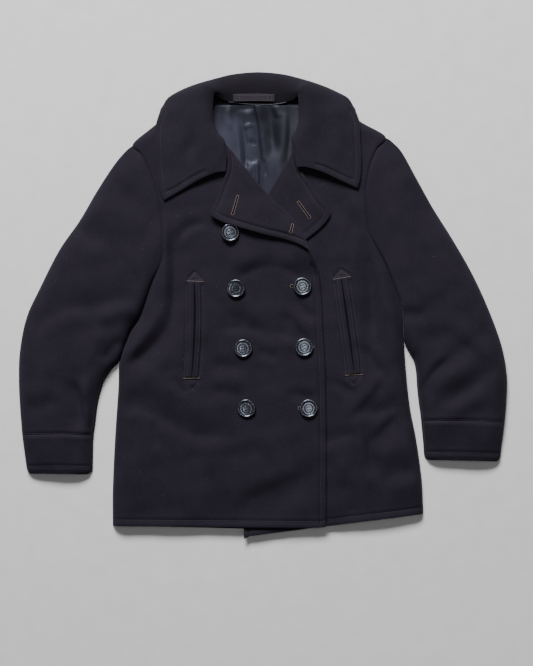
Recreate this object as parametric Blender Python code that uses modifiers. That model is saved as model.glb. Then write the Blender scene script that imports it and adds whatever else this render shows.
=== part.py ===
"""A double-breasted pea coat laid flat on its back, face up, with its collar and lapels open.

Tables are in millimetres: +X to the right as the coat is seen from above, +Y towards its collar,
+Z up from the surface it lies on. Left and right in names are the wearer's.
"""

import math

import bmesh
import bpy
import numpy as np
from mathutils import Matrix, Vector

MM = 0.001
SHIFT_X, SHIFT_Y = 0.15, -2.5   # from the tables' zero to the middle of the coat's box

CLOTH = 3.0                     # wall of the wool cloth
SATIN = 1.2                     # wall of the lining
SEAM = 0.3                      # gap between two pieces that meet
CREASE = 1.4                    # gap, from the line between them, of cloth that bulges face to face
BACK_MID = CLOTH / 2            # height of the back's middle surface where it rests
LEFT_LEVEL = 12.0               # middle surface of the under front
RIGHT_LEVEL = 16.6              # middle surface of the top front
SLEEVE_LEVEL = 22.0             # middle surface at a sleeve's crown
CUFF_LEVEL = 13.5
SIDE_ROUND = 21.0               # how far in from a side edge the cloth reaches its level
SLEEVE_ROUND = 27.0
ROLL_RADIUS = 2.3               # bend of a lapel at its roll
HEM_DROP = 2.4                  # how much lower a front lies at its hem
HEM_START, HEM_END = -300.0, -395.0
BACK_CLIMB = 4.8                # how far the back rises to lie on the collar's fall
CLIMB_START, CLIMB_END = 225.0, 312.0
LAPEL_CLIMB = 5.2               # how far the top front rises over the under front's lapel
LAPEL_CLIMB_X, LAPEL_CLIMB_Y = (-62.0, -30.0), (52.0, 84.0)
LEFT_ASIDE = (112.0, 185.0)     # where the under front comes out to the top front's level
TURNED = (10.0, 75.0)           # turns, in degrees, between which a front's edge becomes a lapel
EDGE_CLEAR = 0.2                # kept between an upright edge of cloth and its neighbour
HEAD_SHARE = 0.8                # how much less of that a sleeve needs at its head
CROWN_SIDES = 0.9               # a sleeve's height beside its crown, as a share
CUFF_REACH = 3.5                # rows over which a sleeve comes down to its cuff
LEAF_ROWS = (5.0, 9.0)          # rows of the collar between which the left half starts to swing

ARM_STEPS = 12                  # columns of a sleeve, and rows of a front along the armhole
SIDE_STEPS = 5
PANEL_STEPS = 8
LAPEL_ARC_STEPS = 4
LAPEL_STEPS = 3
LINING_STEPS = 16

BUTTON_RADIUS = 16.5
BUTTON_THICK = 4.4
BUTTON_SIDES = 16
LOOP_THICK = 2.0
LOOP_START, LOOP_END = -54.0, 21.0
LOOP_FOOT, LOOP_TOP = 369.5, 383.0
LOOP_BOW = 1.6
LIP_THICK = 1.6
LIP_WIDTH = 9.5
LIP_STEPS = 10
LIP_GAP = 1.6                   # the slit between a pocket's two lips

# A row for each section across a front, hem first: its side seam or armhole, the line it is rolled
# on, its free edge, how far the part past the roll is turned over, how high that part's edge
# stands over the front, and how much of the front's height is kept at the side (1 at a seam).
FRONT_COLUMNS = ("side_x", "side_y", "roll_x", "roll_y", "edge_x", "edge_y", "turn", "rise", "lift")
RIGHT_FRONT = (
    (-272, -396, 103, -399, 113, -397, 0, 0.0, 0),
    (-272, -330, 103, -330, 113, -330, 0, 0.0, 0),
    (-268, -240, 102, -240, 113, -240, 0, 0.0, 0),
    (-262, -150, 100, -150, 112, -150, 0, 0.0, 0.02),
    (-259, -97, 98, -90, 110, -90, 0, 0.0, 0.08),
    (-241, -48, 96, -45, 107, -45, 0, 0.0, 0.22),
    (-223, -19, 95, -12, 106, -12, 0, 0.0, 0.42),
    (-203, 39, 92, 30, 103, 30, 0, 0.0, 0.75),
    (-183, 84, 86, 64, 99, 62, 25, 2.0, 0.95),
    (-181, 111, 82, 90, 91, 87, 80, 5.5, 1),
    (-182, 138, 75, 116, 75, 106, 150, 6.0, 1),
    (-184, 165, 64, 139, 43, 120, 180, 5.0, 1),
    (-189, 192, 44, 164, -14, 134, 180, 9.4, 1),
    (-194, 212, 16, 190, -90, 161, 180, 10.2, 1),
    (-202, 235, -9, 217, -83, 194, 180, 5.0, 1),
    (-209, 253, -31, 244, -72, 226, 180, 4.4, 1),
    (-221, 276, -49, 266, -65, 246, 180, 4.4, 0.85),
    (-234, 292, -66, 287, -65.5, 272, 150, 4.4, 0.3),
    (-203, 322, -92, 308, -84, 314, 0, 0.0, 0),
    (-153, 358, -101, 346, -93, 352, 0, 0.0, 0),
    (-117, 377, -106, 373, -96, 375, 0, 0.0, 0),
)
LEFT_FRONT = (
    (290, -374, -23, -414, -34, -419, 0, 0.0, 0),
    (287, -312, -25, -336, -36, -338, 0, 0.0, 0),
    (277, -240, -27, -262, -38, -262, 0, 0.0, 0),
    (266, -183, -29, -186, -40, -186, 0, 0.0, 0),
    (259, -120, -31, -114, -41, -114, 0, 0.0, 0.02),
    (255, -60, -31, -56, -41, -56, 0, 0.0, 0.08),
    (253, -15, -31, 0, -41, 0, 0, 0.0, 0.25),
    (233, 48, -31, 48, -41, 50, 15, 1.0, 0.7),
    (210, 98, -29, 86, -38, 80, 80, 4.0, 0.9),
    (193, 132, -22, 118, -16, 92, 180, 4.3, 1),
    (189, 160, -7, 148, 30, 104, 180, 4.3, 1),
    (186, 192, -1, 178, 78, 122, 180, 4.3, 1),
    (186, 215, 13, 203, 121, 165, 180, 4.3, 1),
    (190, 240, 26, 226, 100, 197, 180, 4.3, 1),
    (196, 262, 39, 247, 81, 227, 180, 4.3, 1),
    (206, 285, 50, 266, 67, 248, 180, 4.3, 0.85),
    (220, 306, 58, 283, 61, 272, 150, 4.3, 0.3),
    (175, 335, 80, 314, 73, 320, 0, 0.0, 0),
    (121, 370, 85, 364, 74, 368, 0, 0.0, 0),
)
RIGHT_UNDERARM, RIGHT_SHOULDER = 8, 17      # rows between which the side is the armhole
LEFT_UNDERARM, LEFT_SHOULDER = 8, 16
BACK_CENTRE = ((9, -403), (-2, 95), (-6, 235), (-11, 362))     # at hem, underarm, shoulder, neck

# A row for each section across a sleeve, armhole first: its outer edge, its inner edge, and how
# much of the armhole's curve and height is left there.
SLEEVE_COLUMNS = ("outer_x", "outer_y", "inner_x", "inner_y", "head")
RIGHT_SLEEVE = (
    (-234, 292, -183, 84, 1.0),
    (-250, 277, -193, 62, 0.85),
    (-270, 253, -203, 39, 0.7),
    (-299, 210, -223, -19, 0.4),
    (-331, 156, -241, -48, 0.2),
    (-368, 103, -259, -97, 0.08),
    (-404, 33, -272, -112, 0.0),
    (-428, -20, -287, -134, 0.0),
    (-440, -80, -295, -157, 0.0),
    (-442, -132, -300, -180, 0.0),
    (-440, -180, -303, -205, 0.0),
    (-436, -230, -307, -235, 0.0),
    (-431, -270, -308, -268, 0.0),
    (-427, -295, -309, -296, 0.0),
    (-422, -301, -314, -302, 0.0),
)
LEFT_SLEEVE = (
    (220, 306, 211, 98, 1.0),
    (233, 296, 222, 74, 0.85),
    (250, 278, 233, 48, 0.7),
    (276, 233, 253, -15, 0.4),
    (307, 178, 255, -60, 0.2),
    (340, 126, 265, -84, 0.08),
    (375, 66, 273, -98, 0.0),
    (404, 5, 277, -118, 0.0),
    (430, -64, 279, -146, 0.0),
    (441, -120, 282, -174, 0.0),
    (441, -165, 285, -195, 0.0),
    (437, -212, 287, -215, 0.0),
    (432, -249, 290, -246, 0.0),
    (429, -273, 292, -270, 0.0),
    (424, -279, 297, -276, 0.0),
)

# A row for each section of half the collar, middle of the back first, as (across, along, height)
# points on its middle surface: neck seam, inside of the roll, roll, outside of the roll, fall, edge.
HALF_COLLAR = (
    ((0, 364.5, 8.4), (0, 398, 12.8), (0, 422.5, 8.0), (0, 398, 2.8), (0, 360, 2.0), (0, 318, 2.0)),
    ((25, 366, 8.4), (24, 397, 13.0), (25, 421, 8.2), (26, 396, 2.9), (28, 360, 2.0), (31, 320, 2.0)),
    ((47, 369, 9.4), (47, 394, 14.7), (52, 417, 9.5), (60, 392, 3.2), (62, 362, 2.0), (64, 328, 2.0)),
    ((62, 373, 12.4), (64, 391, 19.0), (78, 409, 15.5), (97, 395, 6.0), (100, 368, 2.0), (96, 342, 2.0)),
    ((78, 380, 20.5), (76, 389, 26.0), (96, 400, 24.5), (133, 392, 11.0), (143, 377, 3.2), (130, 354, 1.9)),
    ((91, 376, 21.5), (80, 378, 25.0), (100, 385, 29.0), (137, 382, 21.0), (161, 376, 13.0), (168, 362, 5.0)),
    ((97, 360, 21.0), (82, 359, 24.6), (98, 361, 29.0), (130, 358, 25.0), (160, 354, 20.5), (178, 345, 14.5)),
    ((97, 334, 20.6), (82, 334, 24.4), (98, 334, 29.0), (130, 330, 25.4), (162, 325, 22.2), (185, 318, 19.0)),
    ((88, 311, 20.8), (73, 312, 24.6), (90, 311, 29.0), (126, 304, 25.4), (160, 296, 22.8), (184, 290, 20.6)),
    ((70, 297, 21.8), (60, 297, 25.2), (79, 292, 28.6), (117, 280, 25.2), (155, 266, 22.6), (183, 259, 20.6)),
    ((57.5, 283, 23.4), (62, 281, 26.4), (75, 276, 27.4), (111, 262, 25.0), (146, 245, 22.4), (181, 235, 20.6)),
    ((57, 262, 24.0), (66, 259, 25.6), (77, 254, 26.4), (107, 242, 24.2), (142, 222, 22.2), (176, 208, 20.6)),
    ((58, 243, 23.6), (67, 242, 24.6), (78, 240, 25.0), (106, 228, 23.6), (138, 209, 22.0), (169, 191, 20.6)),
)
COLLAR_CENTRE = -9.0
LEFT_LEAF_PIVOT = (58.0, 365.0)     # the left half swings out and draws in about here
LEFT_LEAF_SWING = 6.0               # degrees
LEFT_LEAF_SCALE = 0.94
COLLAR_SECTIONS = 2                 # sections made between two rows
COLLAR_PLACES = (0.0, 0.5, 1.0, 1.35, 1.7, 2.0, 2.3, 2.65, 3.0, 3.5, 4.0, 4.5, 5.0)

# A row for each section of the lining, collar end first: its two ends.
LINING = ((-86, 363, 68, 363), (-98, 332, 80, 332), (-98, 285, 84, 285), (-84, 240, 80, 240),
          (-54, 200, 66, 200), (-26, 168, 46, 168))

# A row for each soft fold: x0, y0 and x1, y1 of its ends, how high it stands (below 0, a trough)
# and its half width.
FOLDS = (
    (-163, 122, -169, 12, -3.2, 15),
    (-169, 12, -196, -68, -3.6, 17),
    (-196, 20, -226, -76, 2.6, 16),
    (-226, -76, -205, -105, -3.0, 20),
    (-252, -150, -186, -186, -3.0, 13),
    (-186, -186, -98, -226, -2.6, 15),
    (-210, -120, -120, -170, 1.8, 16),
    (-6, -44, 54, -58, -1.8, 10),
    (-40, -24, 40, -34, 1.4, 12),
    (-34, 70, 50, 66, -1.6, 14),
    (66, -300, -48, -366, -2.2, 17),
    (198, -60, 200, -250, -2.2, 17),
    (146, -176, 162, -194, -2.2, 17),
    (236, -130, 240, -290, 1.8, 12),
    (176, 90, 206, -20, -2.2, 16),
    (-210, 238, -196, 190, -2.6, 12),
    (203, 250, 194, 180, -2.0, 11),
    (-390, 12, -262, 26, -3.4, 15),
    (-372, -40, -268, -76, 2.0, 14),
    (-312, -112, -320, -222, -3.0, 14),
    (-372, -150, -300, -196, -1.8, 12),
    (302, -104, 358, -68, -3.6, 12),
    (300, -84, 352, -44, 2.4, 11),
    (338, -164, 402, -116, -3.2, 12),
    (306, -142, 372, -110, 2.2, 11),
    (262, 90, 312, 150, -2.2, 15),
    (-262, 90, -318, 150, -2.0, 16),
)
LINING_CREASES = (
    (-18, 362, -8, 300, 3.4, 7),
    (-8, 300, 2, 210, 4.2, 8),
    (-36, 340, -30, 262, 3.0, 7),
    (-30, 262, -6, 222, 2.4, 7),
    (10, 352, 26, 268, 2.2, 9),
    (-70, 346, -56, 250, 2.6, 9),
    (48, 350, 52, 262, 2.6, 9),
)

# A row for each button: its middle and how far its holes are turned, in degrees.
BUTTONS = ((-58.5, 133, 20), (-49, 32, 35), (-36, -75.5, 10), (-30, -183.5, 25),
           (71, 36, 12), (74, -74, 20), (82, -183.5, 8))
# A row for each pocket slit: its top and its foot.
POCKETS = {"right": (-124.5, 42, -127.5, -123), "left": (141, 51, 163, -115)}

WOOL = (0.0136, 0.0112, 0.0180)
WOOL_COLLAR = (0.0152, 0.0127, 0.0198)
SATIN_COLOUR = (0.014, 0.016, 0.024)
BUTTON_COLOUR = (0.010, 0.010, 0.012)


# --- numbers ---------------------------------------------------------------------------------

def smooth_step(value, start, end):
    """0 before start and 1 after end, eased between them; start may be above end."""
    share = min(max((value - start) / (end - start), 0.0), 1.0)
    return share * share * (3.0 - 2.0 * share)


def row_at(table, place):
    """A table's row at a place between its rows, on a smooth curve through them."""
    rows = np.array(table, float)
    last = len(rows) - 1
    i = min(int(place), last - 1)
    t = place - i
    before, after = rows[max(i - 1, 0)], rows[min(i + 2, last)]
    slope_0 = (rows[i + 1] - before) / (2.0 if i > 0 else 1.0)
    slope_1 = (after - rows[i]) / (2.0 if i + 2 <= last else 1.0)
    return (
        rows[i] * (2 * t**3 - 3 * t**2 + 1) + slope_0 * (t**3 - 2 * t**2 + t)
        + rows[i + 1] * (3 * t**2 - 2 * t**3) + slope_1 * (t**3 - t**2)
    )


def cosine_steps(count):
    """Shares from 0 to 1 that lie closer together near both ends."""
    return [0.5 - 0.5 * math.cos(math.pi * i / count) for i in range(count + 1)]


def rounding(distance, reach):
    """The share of its full height that cloth has at a distance from a rounded edge."""
    if distance >= reach:
        return 1.0
    return math.sqrt(max(1.0 - (1.0 - distance / reach) ** 2, 0.0))


def fold_height(folds, x, y):
    total = 0.0
    for x0, y0, x1, y1, height, width in folds:
        dx, dy = x1 - x0, y1 - y0
        share = min(max(((x - x0) * dx + (y - y0) * dy) / (dx * dx + dy * dy), 0.0), 1.0)
        away = math.hypot(x - x0 - share * dx, y - y0 - share * dy)
        total += height * math.exp(-((away / width) ** 2))
    return total


# --- surfaces that lie on each other ---------------------------------------------------------

def back_level(y):
    """Middle surface of the back, which lies on the collar's fall near the neck."""
    return BACK_MID + BACK_CLIMB * smooth_step(y, CLIMB_START, CLIMB_END)


def hem_drop(y):
    return HEM_DROP * smooth_step(y, HEM_START, HEM_END)


def left_level(x, y):
    aside = smooth_step(x, *LEFT_ASIDE)
    return LEFT_LEVEL + (RIGHT_LEVEL - LEFT_LEVEL) * aside - hem_drop(y)


def right_level(x, y):
    """The top front, which climbs over the under front's rolled lapel."""
    over = smooth_step(x, *LAPEL_CLIMB_X) * smooth_step(y, *LAPEL_CLIMB_Y)
    return RIGHT_LEVEL + LAPEL_CLIMB * over - hem_drop(y)


LEVELS = {"right": right_level, "left": left_level}


def cloth_level(side, x, y, distance, lift):
    """Middle surface of a front at a distance in from its side edge."""
    foot = back_level(y) + CLOTH / 2 + 3 * SEAM
    full = LEVELS[side](x, y) + fold_height(FOLDS, x, y)
    return foot + (full - foot) * (lift + (1.0 - lift) * rounding(distance, SIDE_ROUND))


# --- mesh tools ------------------------------------------------------------------------------

def material(name, colour, roughness):
    made = bpy.data.materials.new(name)
    made.use_nodes = True
    shader = made.node_tree.nodes["Principled BSDF"]
    shader.inputs["Base Color"].default_value = (*colour, 1.0)
    shader.inputs["Roughness"].default_value = roughness
    shader.inputs["Metallic"].default_value = 0.0
    made.diffuse_color = (*colour, 1.0)
    return made


def add_object(name, mesh, finish, parent, collection):
    made = bpy.data.objects.new(name, mesh)
    mesh.materials.append(finish)
    collection.objects.link(made)
    made.parent = parent
    return made


def sheet(name, rows, wall, finish, parent, collection):
    """A wall of cloth with its middle surface through a grid of points."""
    across, along = len(rows[0]), len(rows)
    grid = bmesh.new()
    bmesh.ops.create_grid(grid, x_segments=across - 1, y_segments=along - 1, size=1.0)
    grid.verts.ensure_lookup_table()
    for number, point in enumerate(point for row in rows for point in row):
        grid.verts[number].co = Vector(point) * MM
    mesh = bpy.data.meshes.new(name)
    grid.to_mesh(mesh)
    grid.free()
    mesh.shade_smooth()
    made = add_object(name, mesh, finish, parent, collection)
    solid = made.modifiers.new("wall", "SOLIDIFY")
    solid.thickness = wall * MM
    solid.offset = 0.0
    solid.use_even_offset = False
    return made


# --- fronts and back -------------------------------------------------------------------------

def front_places(table, underarm, shoulder):
    """Places along a front's table: closest together at the two ends of the armhole."""
    below = [i / 2 for i in range(2 * underarm)]
    arm = [underarm + (shoulder - underarm) * share for share in cosine_steps(ARM_STEPS)]
    above = [shoulder + i / 2 for i in range(1, 2 * (len(table) - 1 - shoulder) + 1)]
    return below + arm + above


def front_row(table, place):
    row = dict(zip(FRONT_COLUMNS, row_at(table, place)))
    row["lift"] = min(max(row["lift"], 0.0), 1.0)
    row["turn"] = math.radians(min(max(row["turn"], 0.0), 180.0))
    return row


def side_inset(lift):
    """How far in from its outline a front's middle surface stops: half its wall where it is upright."""
    return SEAM + (CLOTH / 2 + EDGE_CLEAR) * math.sqrt(1.0 - lift) + CREASE / 2 * min(4 - 4 * lift, 1.0)


def front_section(side, row):
    """Points across a front, from its side edge to its roll and on to its free edge."""
    start = np.array((row["side_x"], row["side_y"]))
    roll = np.array((row["roll_x"], row["roll_y"]))
    edge = np.array((row["edge_x"], row["edge_y"]))
    ahead = (roll - start) / np.linalg.norm(roll - start)
    start = start + ahead * side_inset(row["lift"])
    length = np.linalg.norm(roll - start)
    bend = [math.pi / 2 * i / SIDE_STEPS for i in range(SIDE_STEPS)]
    distances = [SIDE_ROUND * (1.0 - math.cos(angle)) for angle in bend]
    distances += list(np.linspace(SIDE_ROUND, length, PANEL_STEPS + 1))
    points = []
    for distance in distances:
        x, y = start + ahead * distance
        points.append((x, y, cloth_level(side, x, y, distance, row["lift"])))
    return points + turned_part(side, row, roll, edge, ahead)


def turned_part(side, row, roll, edge, ahead):
    """Points past the roll: round the bend and over the front, or straight on where it isn't turned."""
    bent_share = smooth_step(math.degrees(row["turn"]), *TURNED)
    places = []
    for i in range(1, LAPEL_ARC_STEPS + 1):
        angle = row["turn"] * i / LAPEL_ARC_STEPS
        bend = roll + ahead * ROLL_RADIUS * math.sin(angle)
        level = roll + (edge - roll) * i / (LAPEL_ARC_STEPS + LAPEL_STEPS)
        over = ROLL_RADIUS * (1.0 - math.cos(angle))
        places.append((level + (bend - level) * bent_share, over * bent_share))
    bend, over = places[-1]
    for i in range(1, LAPEL_STEPS + 1):
        share = i / LAPEL_STEPS
        places.append((bend + (edge - bend) * share, over + (row["rise"] - over) * share))
    return [(x, y, cloth_level(side, x, y, SIDE_ROUND, 1.0) + over) for (x, y), over in places]


def build_front(name, side, table, underarm, shoulder, finish, parent, collection):
    rows = [front_section(side, front_row(table, place))
            for place in front_places(table, underarm, shoulder)]
    if side == "left":
        rows = [row[::-1] for row in rows]
    return sheet(name, rows, CLOTH, finish, parent, collection)


def centre_at(place, underarm, shoulder, last):
    knots = (0, underarm, shoulder, last)
    return np.array([np.interp(place, knots, [point[i] for point in BACK_CENTRE]) for i in (0, 1)])


def build_back(name, side, table, underarm, shoulder, finish, parent, collection):
    rows = []
    for place in front_places(table, underarm, shoulder):
        row = front_row(table, place)
        start = np.array((row["side_x"], row["side_y"]))
        centre = centre_at(place, underarm, shoulder, len(table) - 1)
        ahead = (centre - start) / np.linalg.norm(centre - start)
        inset = SEAM / 2 + CREASE / 2 * min(4 - 4 * row["lift"], 1.0)
        start, centre = start + ahead * inset, centre - ahead * SEAM / 2
        section = []
        for share in (0.0, 0.2, 0.6, 1.0):
            x, y = start + (centre - start) * share
            section.append((x, y, back_level(y)))
        rows.append(section if side == "right" else section[::-1])
    return sheet(name, rows, CLOTH, finish, parent, collection)


# --- sleeves ---------------------------------------------------------------------------------

def armhole(table, underarm, shoulder):
    """Points along the armhole from the shoulder to the underarm, with their share of height."""
    points = []
    for share in cosine_steps(ARM_STEPS):
        row = front_row(table, shoulder + (underarm - shoulder) * share)
        points.append((row["side_x"], row["side_y"], row["lift"]))
    return points


def sleeve_rows(side, table, arm, upper):
    """Grid of points along a sleeve; the upper half arches, the under half lies flat."""
    shares = cosine_steps(ARM_STEPS)
    outward = -1.0 if side == "right" else 1.0
    last = len(table) - 1
    rows = []
    for step in range(2 * last + 1):
        place = step / 2
        row = dict(zip(SLEEVE_COLUMNS, row_at(table, place)))
        head = min(max(row["head"], 0.0), 1.0)
        outer = np.array((row["outer_x"], row["outer_y"]))
        inner = np.array((row["inner_x"], row["inner_y"]))
        width = np.linalg.norm(inner - outer)
        ahead = (inner - outer) / width
        inset = CLOTH / 2 + EDGE_CLEAR if upper else 0.0
        inner_inset = SEAM + inset * math.sqrt(1.0 - head) + CREASE * min(4 - 4 * head, 1.0)
        cuff = smooth_step(place, last - CUFF_REACH, last)
        crown = SLEEVE_LEVEL + (CUFF_LEVEL - SLEEVE_LEVEL) * cuff
        section = []
        for share, (arm_x, arm_y, lift) in zip(shares, arm):
            chord = np.array(arm[0][:2]) + (np.array(arm[-1][:2]) - np.array(arm[0][:2])) * share
            bow = head * (np.array((arm_x, arm_y)) - chord)
            off = inset * (1.0 - HEAD_SHARE * head) * (1 - share) - inner_inset * share
            x, y = outer + ahead * (width * share + off) + bow
            x += outward * 2 * SEAM * head
            y -= SEAM * head
            if not upper:
                section.append((x, y, back_level(y)))
                continue
            foot = back_level(y) + CLOTH / 2 + 3 * SEAM
            round_0 = rounding(share * width, SLEEVE_ROUND)
            round_1 = rounding((1.0 - share) * width, SLEEVE_ROUND)
            top = crown * (CROWN_SIDES + (1.0 - CROWN_SIDES) * math.sin(math.pi * share))
            arched = foot + (top - foot) * round_0 * round_1
            seam = cloth_level(side, arm_x, arm_y, 0.0, lift)
            ease = head * head * (3.0 - 2.0 * head)
            relief = fold_height(FOLDS, x, y) * round_0 * round_1 * (1.0 - ease)
            section.append((x, y, arched + (seam - arched) * ease + relief))
        rows.append(section if side == "left" else section[::-1])
    return rows[::-1]


def build_sleeve(side, table, arm, finish, parent, collection):
    for half, upper in (("top", True), ("under", False)):
        rows = sleeve_rows(side, table, arm, upper)
        if not upper:
            rows = rows[::2]
        sheet(f"{side}_sleeve_{half}", rows, CLOTH, finish, parent, collection)


# --- collar, lining and loop -----------------------------------------------------------------

def collar_point(point, side, weight):
    """A point of the half collar put on the wearer's right or left."""
    across, along, height = point
    if side == "right":
        return (COLLAR_CENTRE - across, along, height)
    pivot_x, pivot_y = LEFT_LEAF_PIVOT
    angle = math.radians(LEFT_LEAF_SWING) * weight
    scale = 1.0 + (LEFT_LEAF_SCALE - 1.0) * weight
    dx, dy = across - pivot_x, along - pivot_y
    turned_x = dx * math.cos(angle) - dy * math.sin(angle)
    turned_y = dx * math.sin(angle) + dy * math.cos(angle)
    return (COLLAR_CENTRE + pivot_x + turned_x * scale, pivot_y + turned_y * scale, height)


def half_collar(side):
    flat = [[value for point in row for value in point] for row in HALF_COLLAR]
    last = len(flat) - 1
    rows = []
    for step in range(COLLAR_SECTIONS * last + 1):
        place = step / COLLAR_SECTIONS
        weight = smooth_step(place, *LEAF_ROWS)
        knots = row_at(flat, place).reshape(-1, 3)
        section = [row_at(knots, share) for share in COLLAR_PLACES]
        rows.append([collar_point(point, side, weight) for point in section])
    return rows


def build_collar(finish, parent, collection):
    rows = half_collar("right")[::-1] + half_collar("left")[1:]
    return sheet("collar", rows, CLOTH, finish, parent, collection)


def build_lining(finish, parent, collection):
    rows = []
    for step in range(11):
        x0, y0, x1, y1 = row_at(LINING, step / 2)
        section = []
        for share in np.linspace(0.0, 1.0, LINING_STEPS + 1):
            x, y = x0 + (x1 - x0) * share, y0 + (y1 - y0) * share
            seat = back_level(y) + CLOTH / 2 + SATIN / 2 + 2 * SEAM
            section.append((x, y, seat + fold_height(LINING_CREASES, x, y)))
        rows.append(section)
    return sheet("lining", rows[::-1], SATIN, finish, parent, collection)


def stand_level(x, y):
    """Middle surface of the collar's stand, inside the back neck."""
    across = abs(x - COLLAR_CENTRE)
    place = np.interp(across, [row[0][0] for row in HALF_COLLAR[:4]], range(4))
    knots = row_at([[value for point in row for value in point] for row in HALF_COLLAR], place)
    seam, inside = knots[:3], knots[3:6]
    return seam[2] + (inside[2] - seam[2]) * (y - seam[1]) / (inside[1] - seam[1])


def build_loop(finish, parent, collection):
    """A bar of cloth sewn down at both ends, a little bowed between them."""
    rows = []
    for y in np.linspace(LOOP_FOOT, LOOP_TOP, 4):
        section = []
        for share in np.linspace(0.0, 1.0, 9):
            x = LOOP_START + (LOOP_END - LOOP_START) * share
            seat = stand_level(x, y) + CLOTH / 2 + LOOP_THICK / 2 + 3 * SEAM
            section.append((x, y, seat + LOOP_BOW * math.sin(math.pi * share)))
        rows.append(section)
    return sheet("hanger_loop", rows, LOOP_THICK, finish, parent, collection)


# --- pockets and buttons ---------------------------------------------------------------------

def on_front(side, x, y, height):
    """A point at a height over a front's outer face, square to it."""
    step = 2.0
    here = cloth_level(side, x, y, SIDE_ROUND, 1.0)
    slope_x = (cloth_level(side, x + step, y, SIDE_ROUND, 1.0) - here) / step
    slope_y = (cloth_level(side, x, y + step, SIDE_ROUND, 1.0) - here) / step
    normal = np.array((-slope_x, -slope_y, 1.0))
    normal /= np.linalg.norm(normal)
    return np.array((x, y, here)) + normal * (CLOTH / 2 + height), normal


def build_pocket(side, finish, parent, collection):
    x0, y0, x1, y1 = POCKETS[side]
    length = math.hypot(x1 - x0, y1 - y0)
    across = np.array((y0 - y1, x1 - x0)) / length
    for sign, name in ((-1.0, "side" if side == "right" else "front"),
                       (1.0, "front" if side == "right" else "side")):
        rows = []
        for place in np.linspace(0.0, 1.0, LIP_STEPS + 1):
            section = []
            for out in (LIP_GAP / 2, LIP_GAP / 2 + LIP_WIDTH / 2, LIP_GAP / 2 + LIP_WIDTH):
                x = x0 + (x1 - x0) * place + across[0] * out * sign
                y = y0 + (y1 - y0) * place + across[1] * out * sign
                section.append(on_front(side, x, y, LIP_THICK / 2 + SEAM + 0.1)[0])
            rows.append(section if sign < 0 else section[::-1])
        sheet(f"{side}_pocket_{name}_lip", rows, LIP_THICK, finish, parent, collection)


def button_mesh(holes):
    """A turned button with a raised rim, a sunk middle and four holes."""
    profile = (
        (0.0, 2.9), (6.6, 2.9), (7.6, 3.7), (13.4, BUTTON_THICK), (15.4, 4.0),
        (BUTTON_RADIUS, 2.6), (15.6, 0.7), (13.5, 0.0), (0.0, 0.0),
    )
    made = bmesh.new()
    corners = [made.verts.new((radius * MM, 0.0, height * MM)) for radius, height in profile]
    for first, second in zip(corners, corners[1:]):
        made.edges.new((first, second))
    mesh = bpy.data.meshes.new("button")
    made.to_mesh(mesh)
    made.free()
    turned = bpy.data.objects.new("button_blank", mesh)
    spin = turned.modifiers.new("turn", "SCREW")
    spin.steps = BUTTON_SIDES
    spin.render_steps = BUTTON_SIDES
    spin.use_merge_vertices = True
    spin.merge_threshold = 0.00005
    holes.objects.link(turned)
    for number in range(4):
        angle = math.pi / 2 * number + math.pi / 4
        bpy.ops.mesh.primitive_cylinder_add(vertices=6, radius=1.3 * MM, depth=12 * MM)
        drill = bpy.context.object
        drill.name = f"button_drill_{number}"
        drill.location = (3.6 * MM * math.cos(angle), 3.6 * MM * math.sin(angle), 2 * MM)
        drill.display_type = "WIRE"
        drill.hide_render = True
        bpy.context.collection.objects.unlink(drill)
        holes.objects.link(drill)
        cut = turned.modifiers.new(f"hole_{number}", "BOOLEAN")
        cut.operation = "DIFFERENCE"
        cut.object = drill
    bpy.context.view_layer.update()
    finished = bpy.data.meshes.new_from_object(turned.evaluated_get(bpy.context.evaluated_depsgraph_get()))
    bpy.data.objects.remove(turned)
    finished.shade_smooth()
    finished.set_sharp_from_angle(angle=math.radians(30))
    return finished


def build_buttons(finish, parent, collection, holes):
    mesh = button_mesh(holes)
    for number, (x, y, turn) in enumerate(BUTTONS, 1):
        middle, normal = on_front("right", x, y, SEAM)
        lift = 0.0
        for i in range(12):
            angle = math.pi / 6 * i
            rim_x = x + BUTTON_RADIUS * math.cos(angle)
            rim_y = y + BUTTON_RADIUS * math.sin(angle)
            rim = on_front("right", rim_x, rim_y, SEAM)[0]
            lift = max(lift, float(np.dot(rim - middle, normal)))
        made = bpy.data.objects.new(f"button_{number}", mesh)
        made.location = Vector(middle + normal * lift) * MM
        up = Vector((0.0, 0.0, 1.0)).rotation_difference(Vector(normal))
        spin = Matrix.Rotation(math.radians(turn), 3, "Z")
        made.rotation_euler = (up.to_matrix() @ spin).to_euler()
        collection.objects.link(made)
        made.parent = parent
    mesh.materials.append(finish)


def main():
    for old in list(bpy.data.objects):
        bpy.data.objects.remove(old)
    coat = bpy.data.collections.new("pea_coat")
    cutters = bpy.data.collections.new("cutters")
    for made in (coat, cutters):
        bpy.context.scene.collection.children.link(made)
    frame = bpy.data.objects.new("pea_coat_frame", None)
    frame.location = (SHIFT_X * MM, SHIFT_Y * MM, 0.0)
    coat.objects.link(frame)
    wool = material("wool", WOOL, 0.92)
    wool_collar = material("wool_collar", WOOL_COLLAR, 0.92)
    satin = material("satin", SATIN_COLOUR, 0.38)
    plastic = material("button_plastic", BUTTON_COLOUR, 0.22)

    sides = {
        "right": (RIGHT_FRONT, RIGHT_SLEEVE, RIGHT_UNDERARM, RIGHT_SHOULDER),
        "left": (LEFT_FRONT, LEFT_SLEEVE, LEFT_UNDERARM, LEFT_SHOULDER),
    }
    for side, (front, sleeve, underarm, shoulder) in sides.items():
        build_back(f"back_{side}", side, front, underarm, shoulder, wool, frame, coat)
        build_front(f"{side}_front", side, front, underarm, shoulder, wool, frame, coat)
        build_sleeve(side, sleeve, armhole(front, underarm, shoulder), wool, frame, coat)
        build_pocket(side, wool, frame, coat)
    build_collar(wool_collar, frame, coat)
    build_lining(satin, frame, coat)
    build_loop(wool_collar, frame, coat)
    build_buttons(plastic, frame, coat, cutters)


main()
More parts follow.
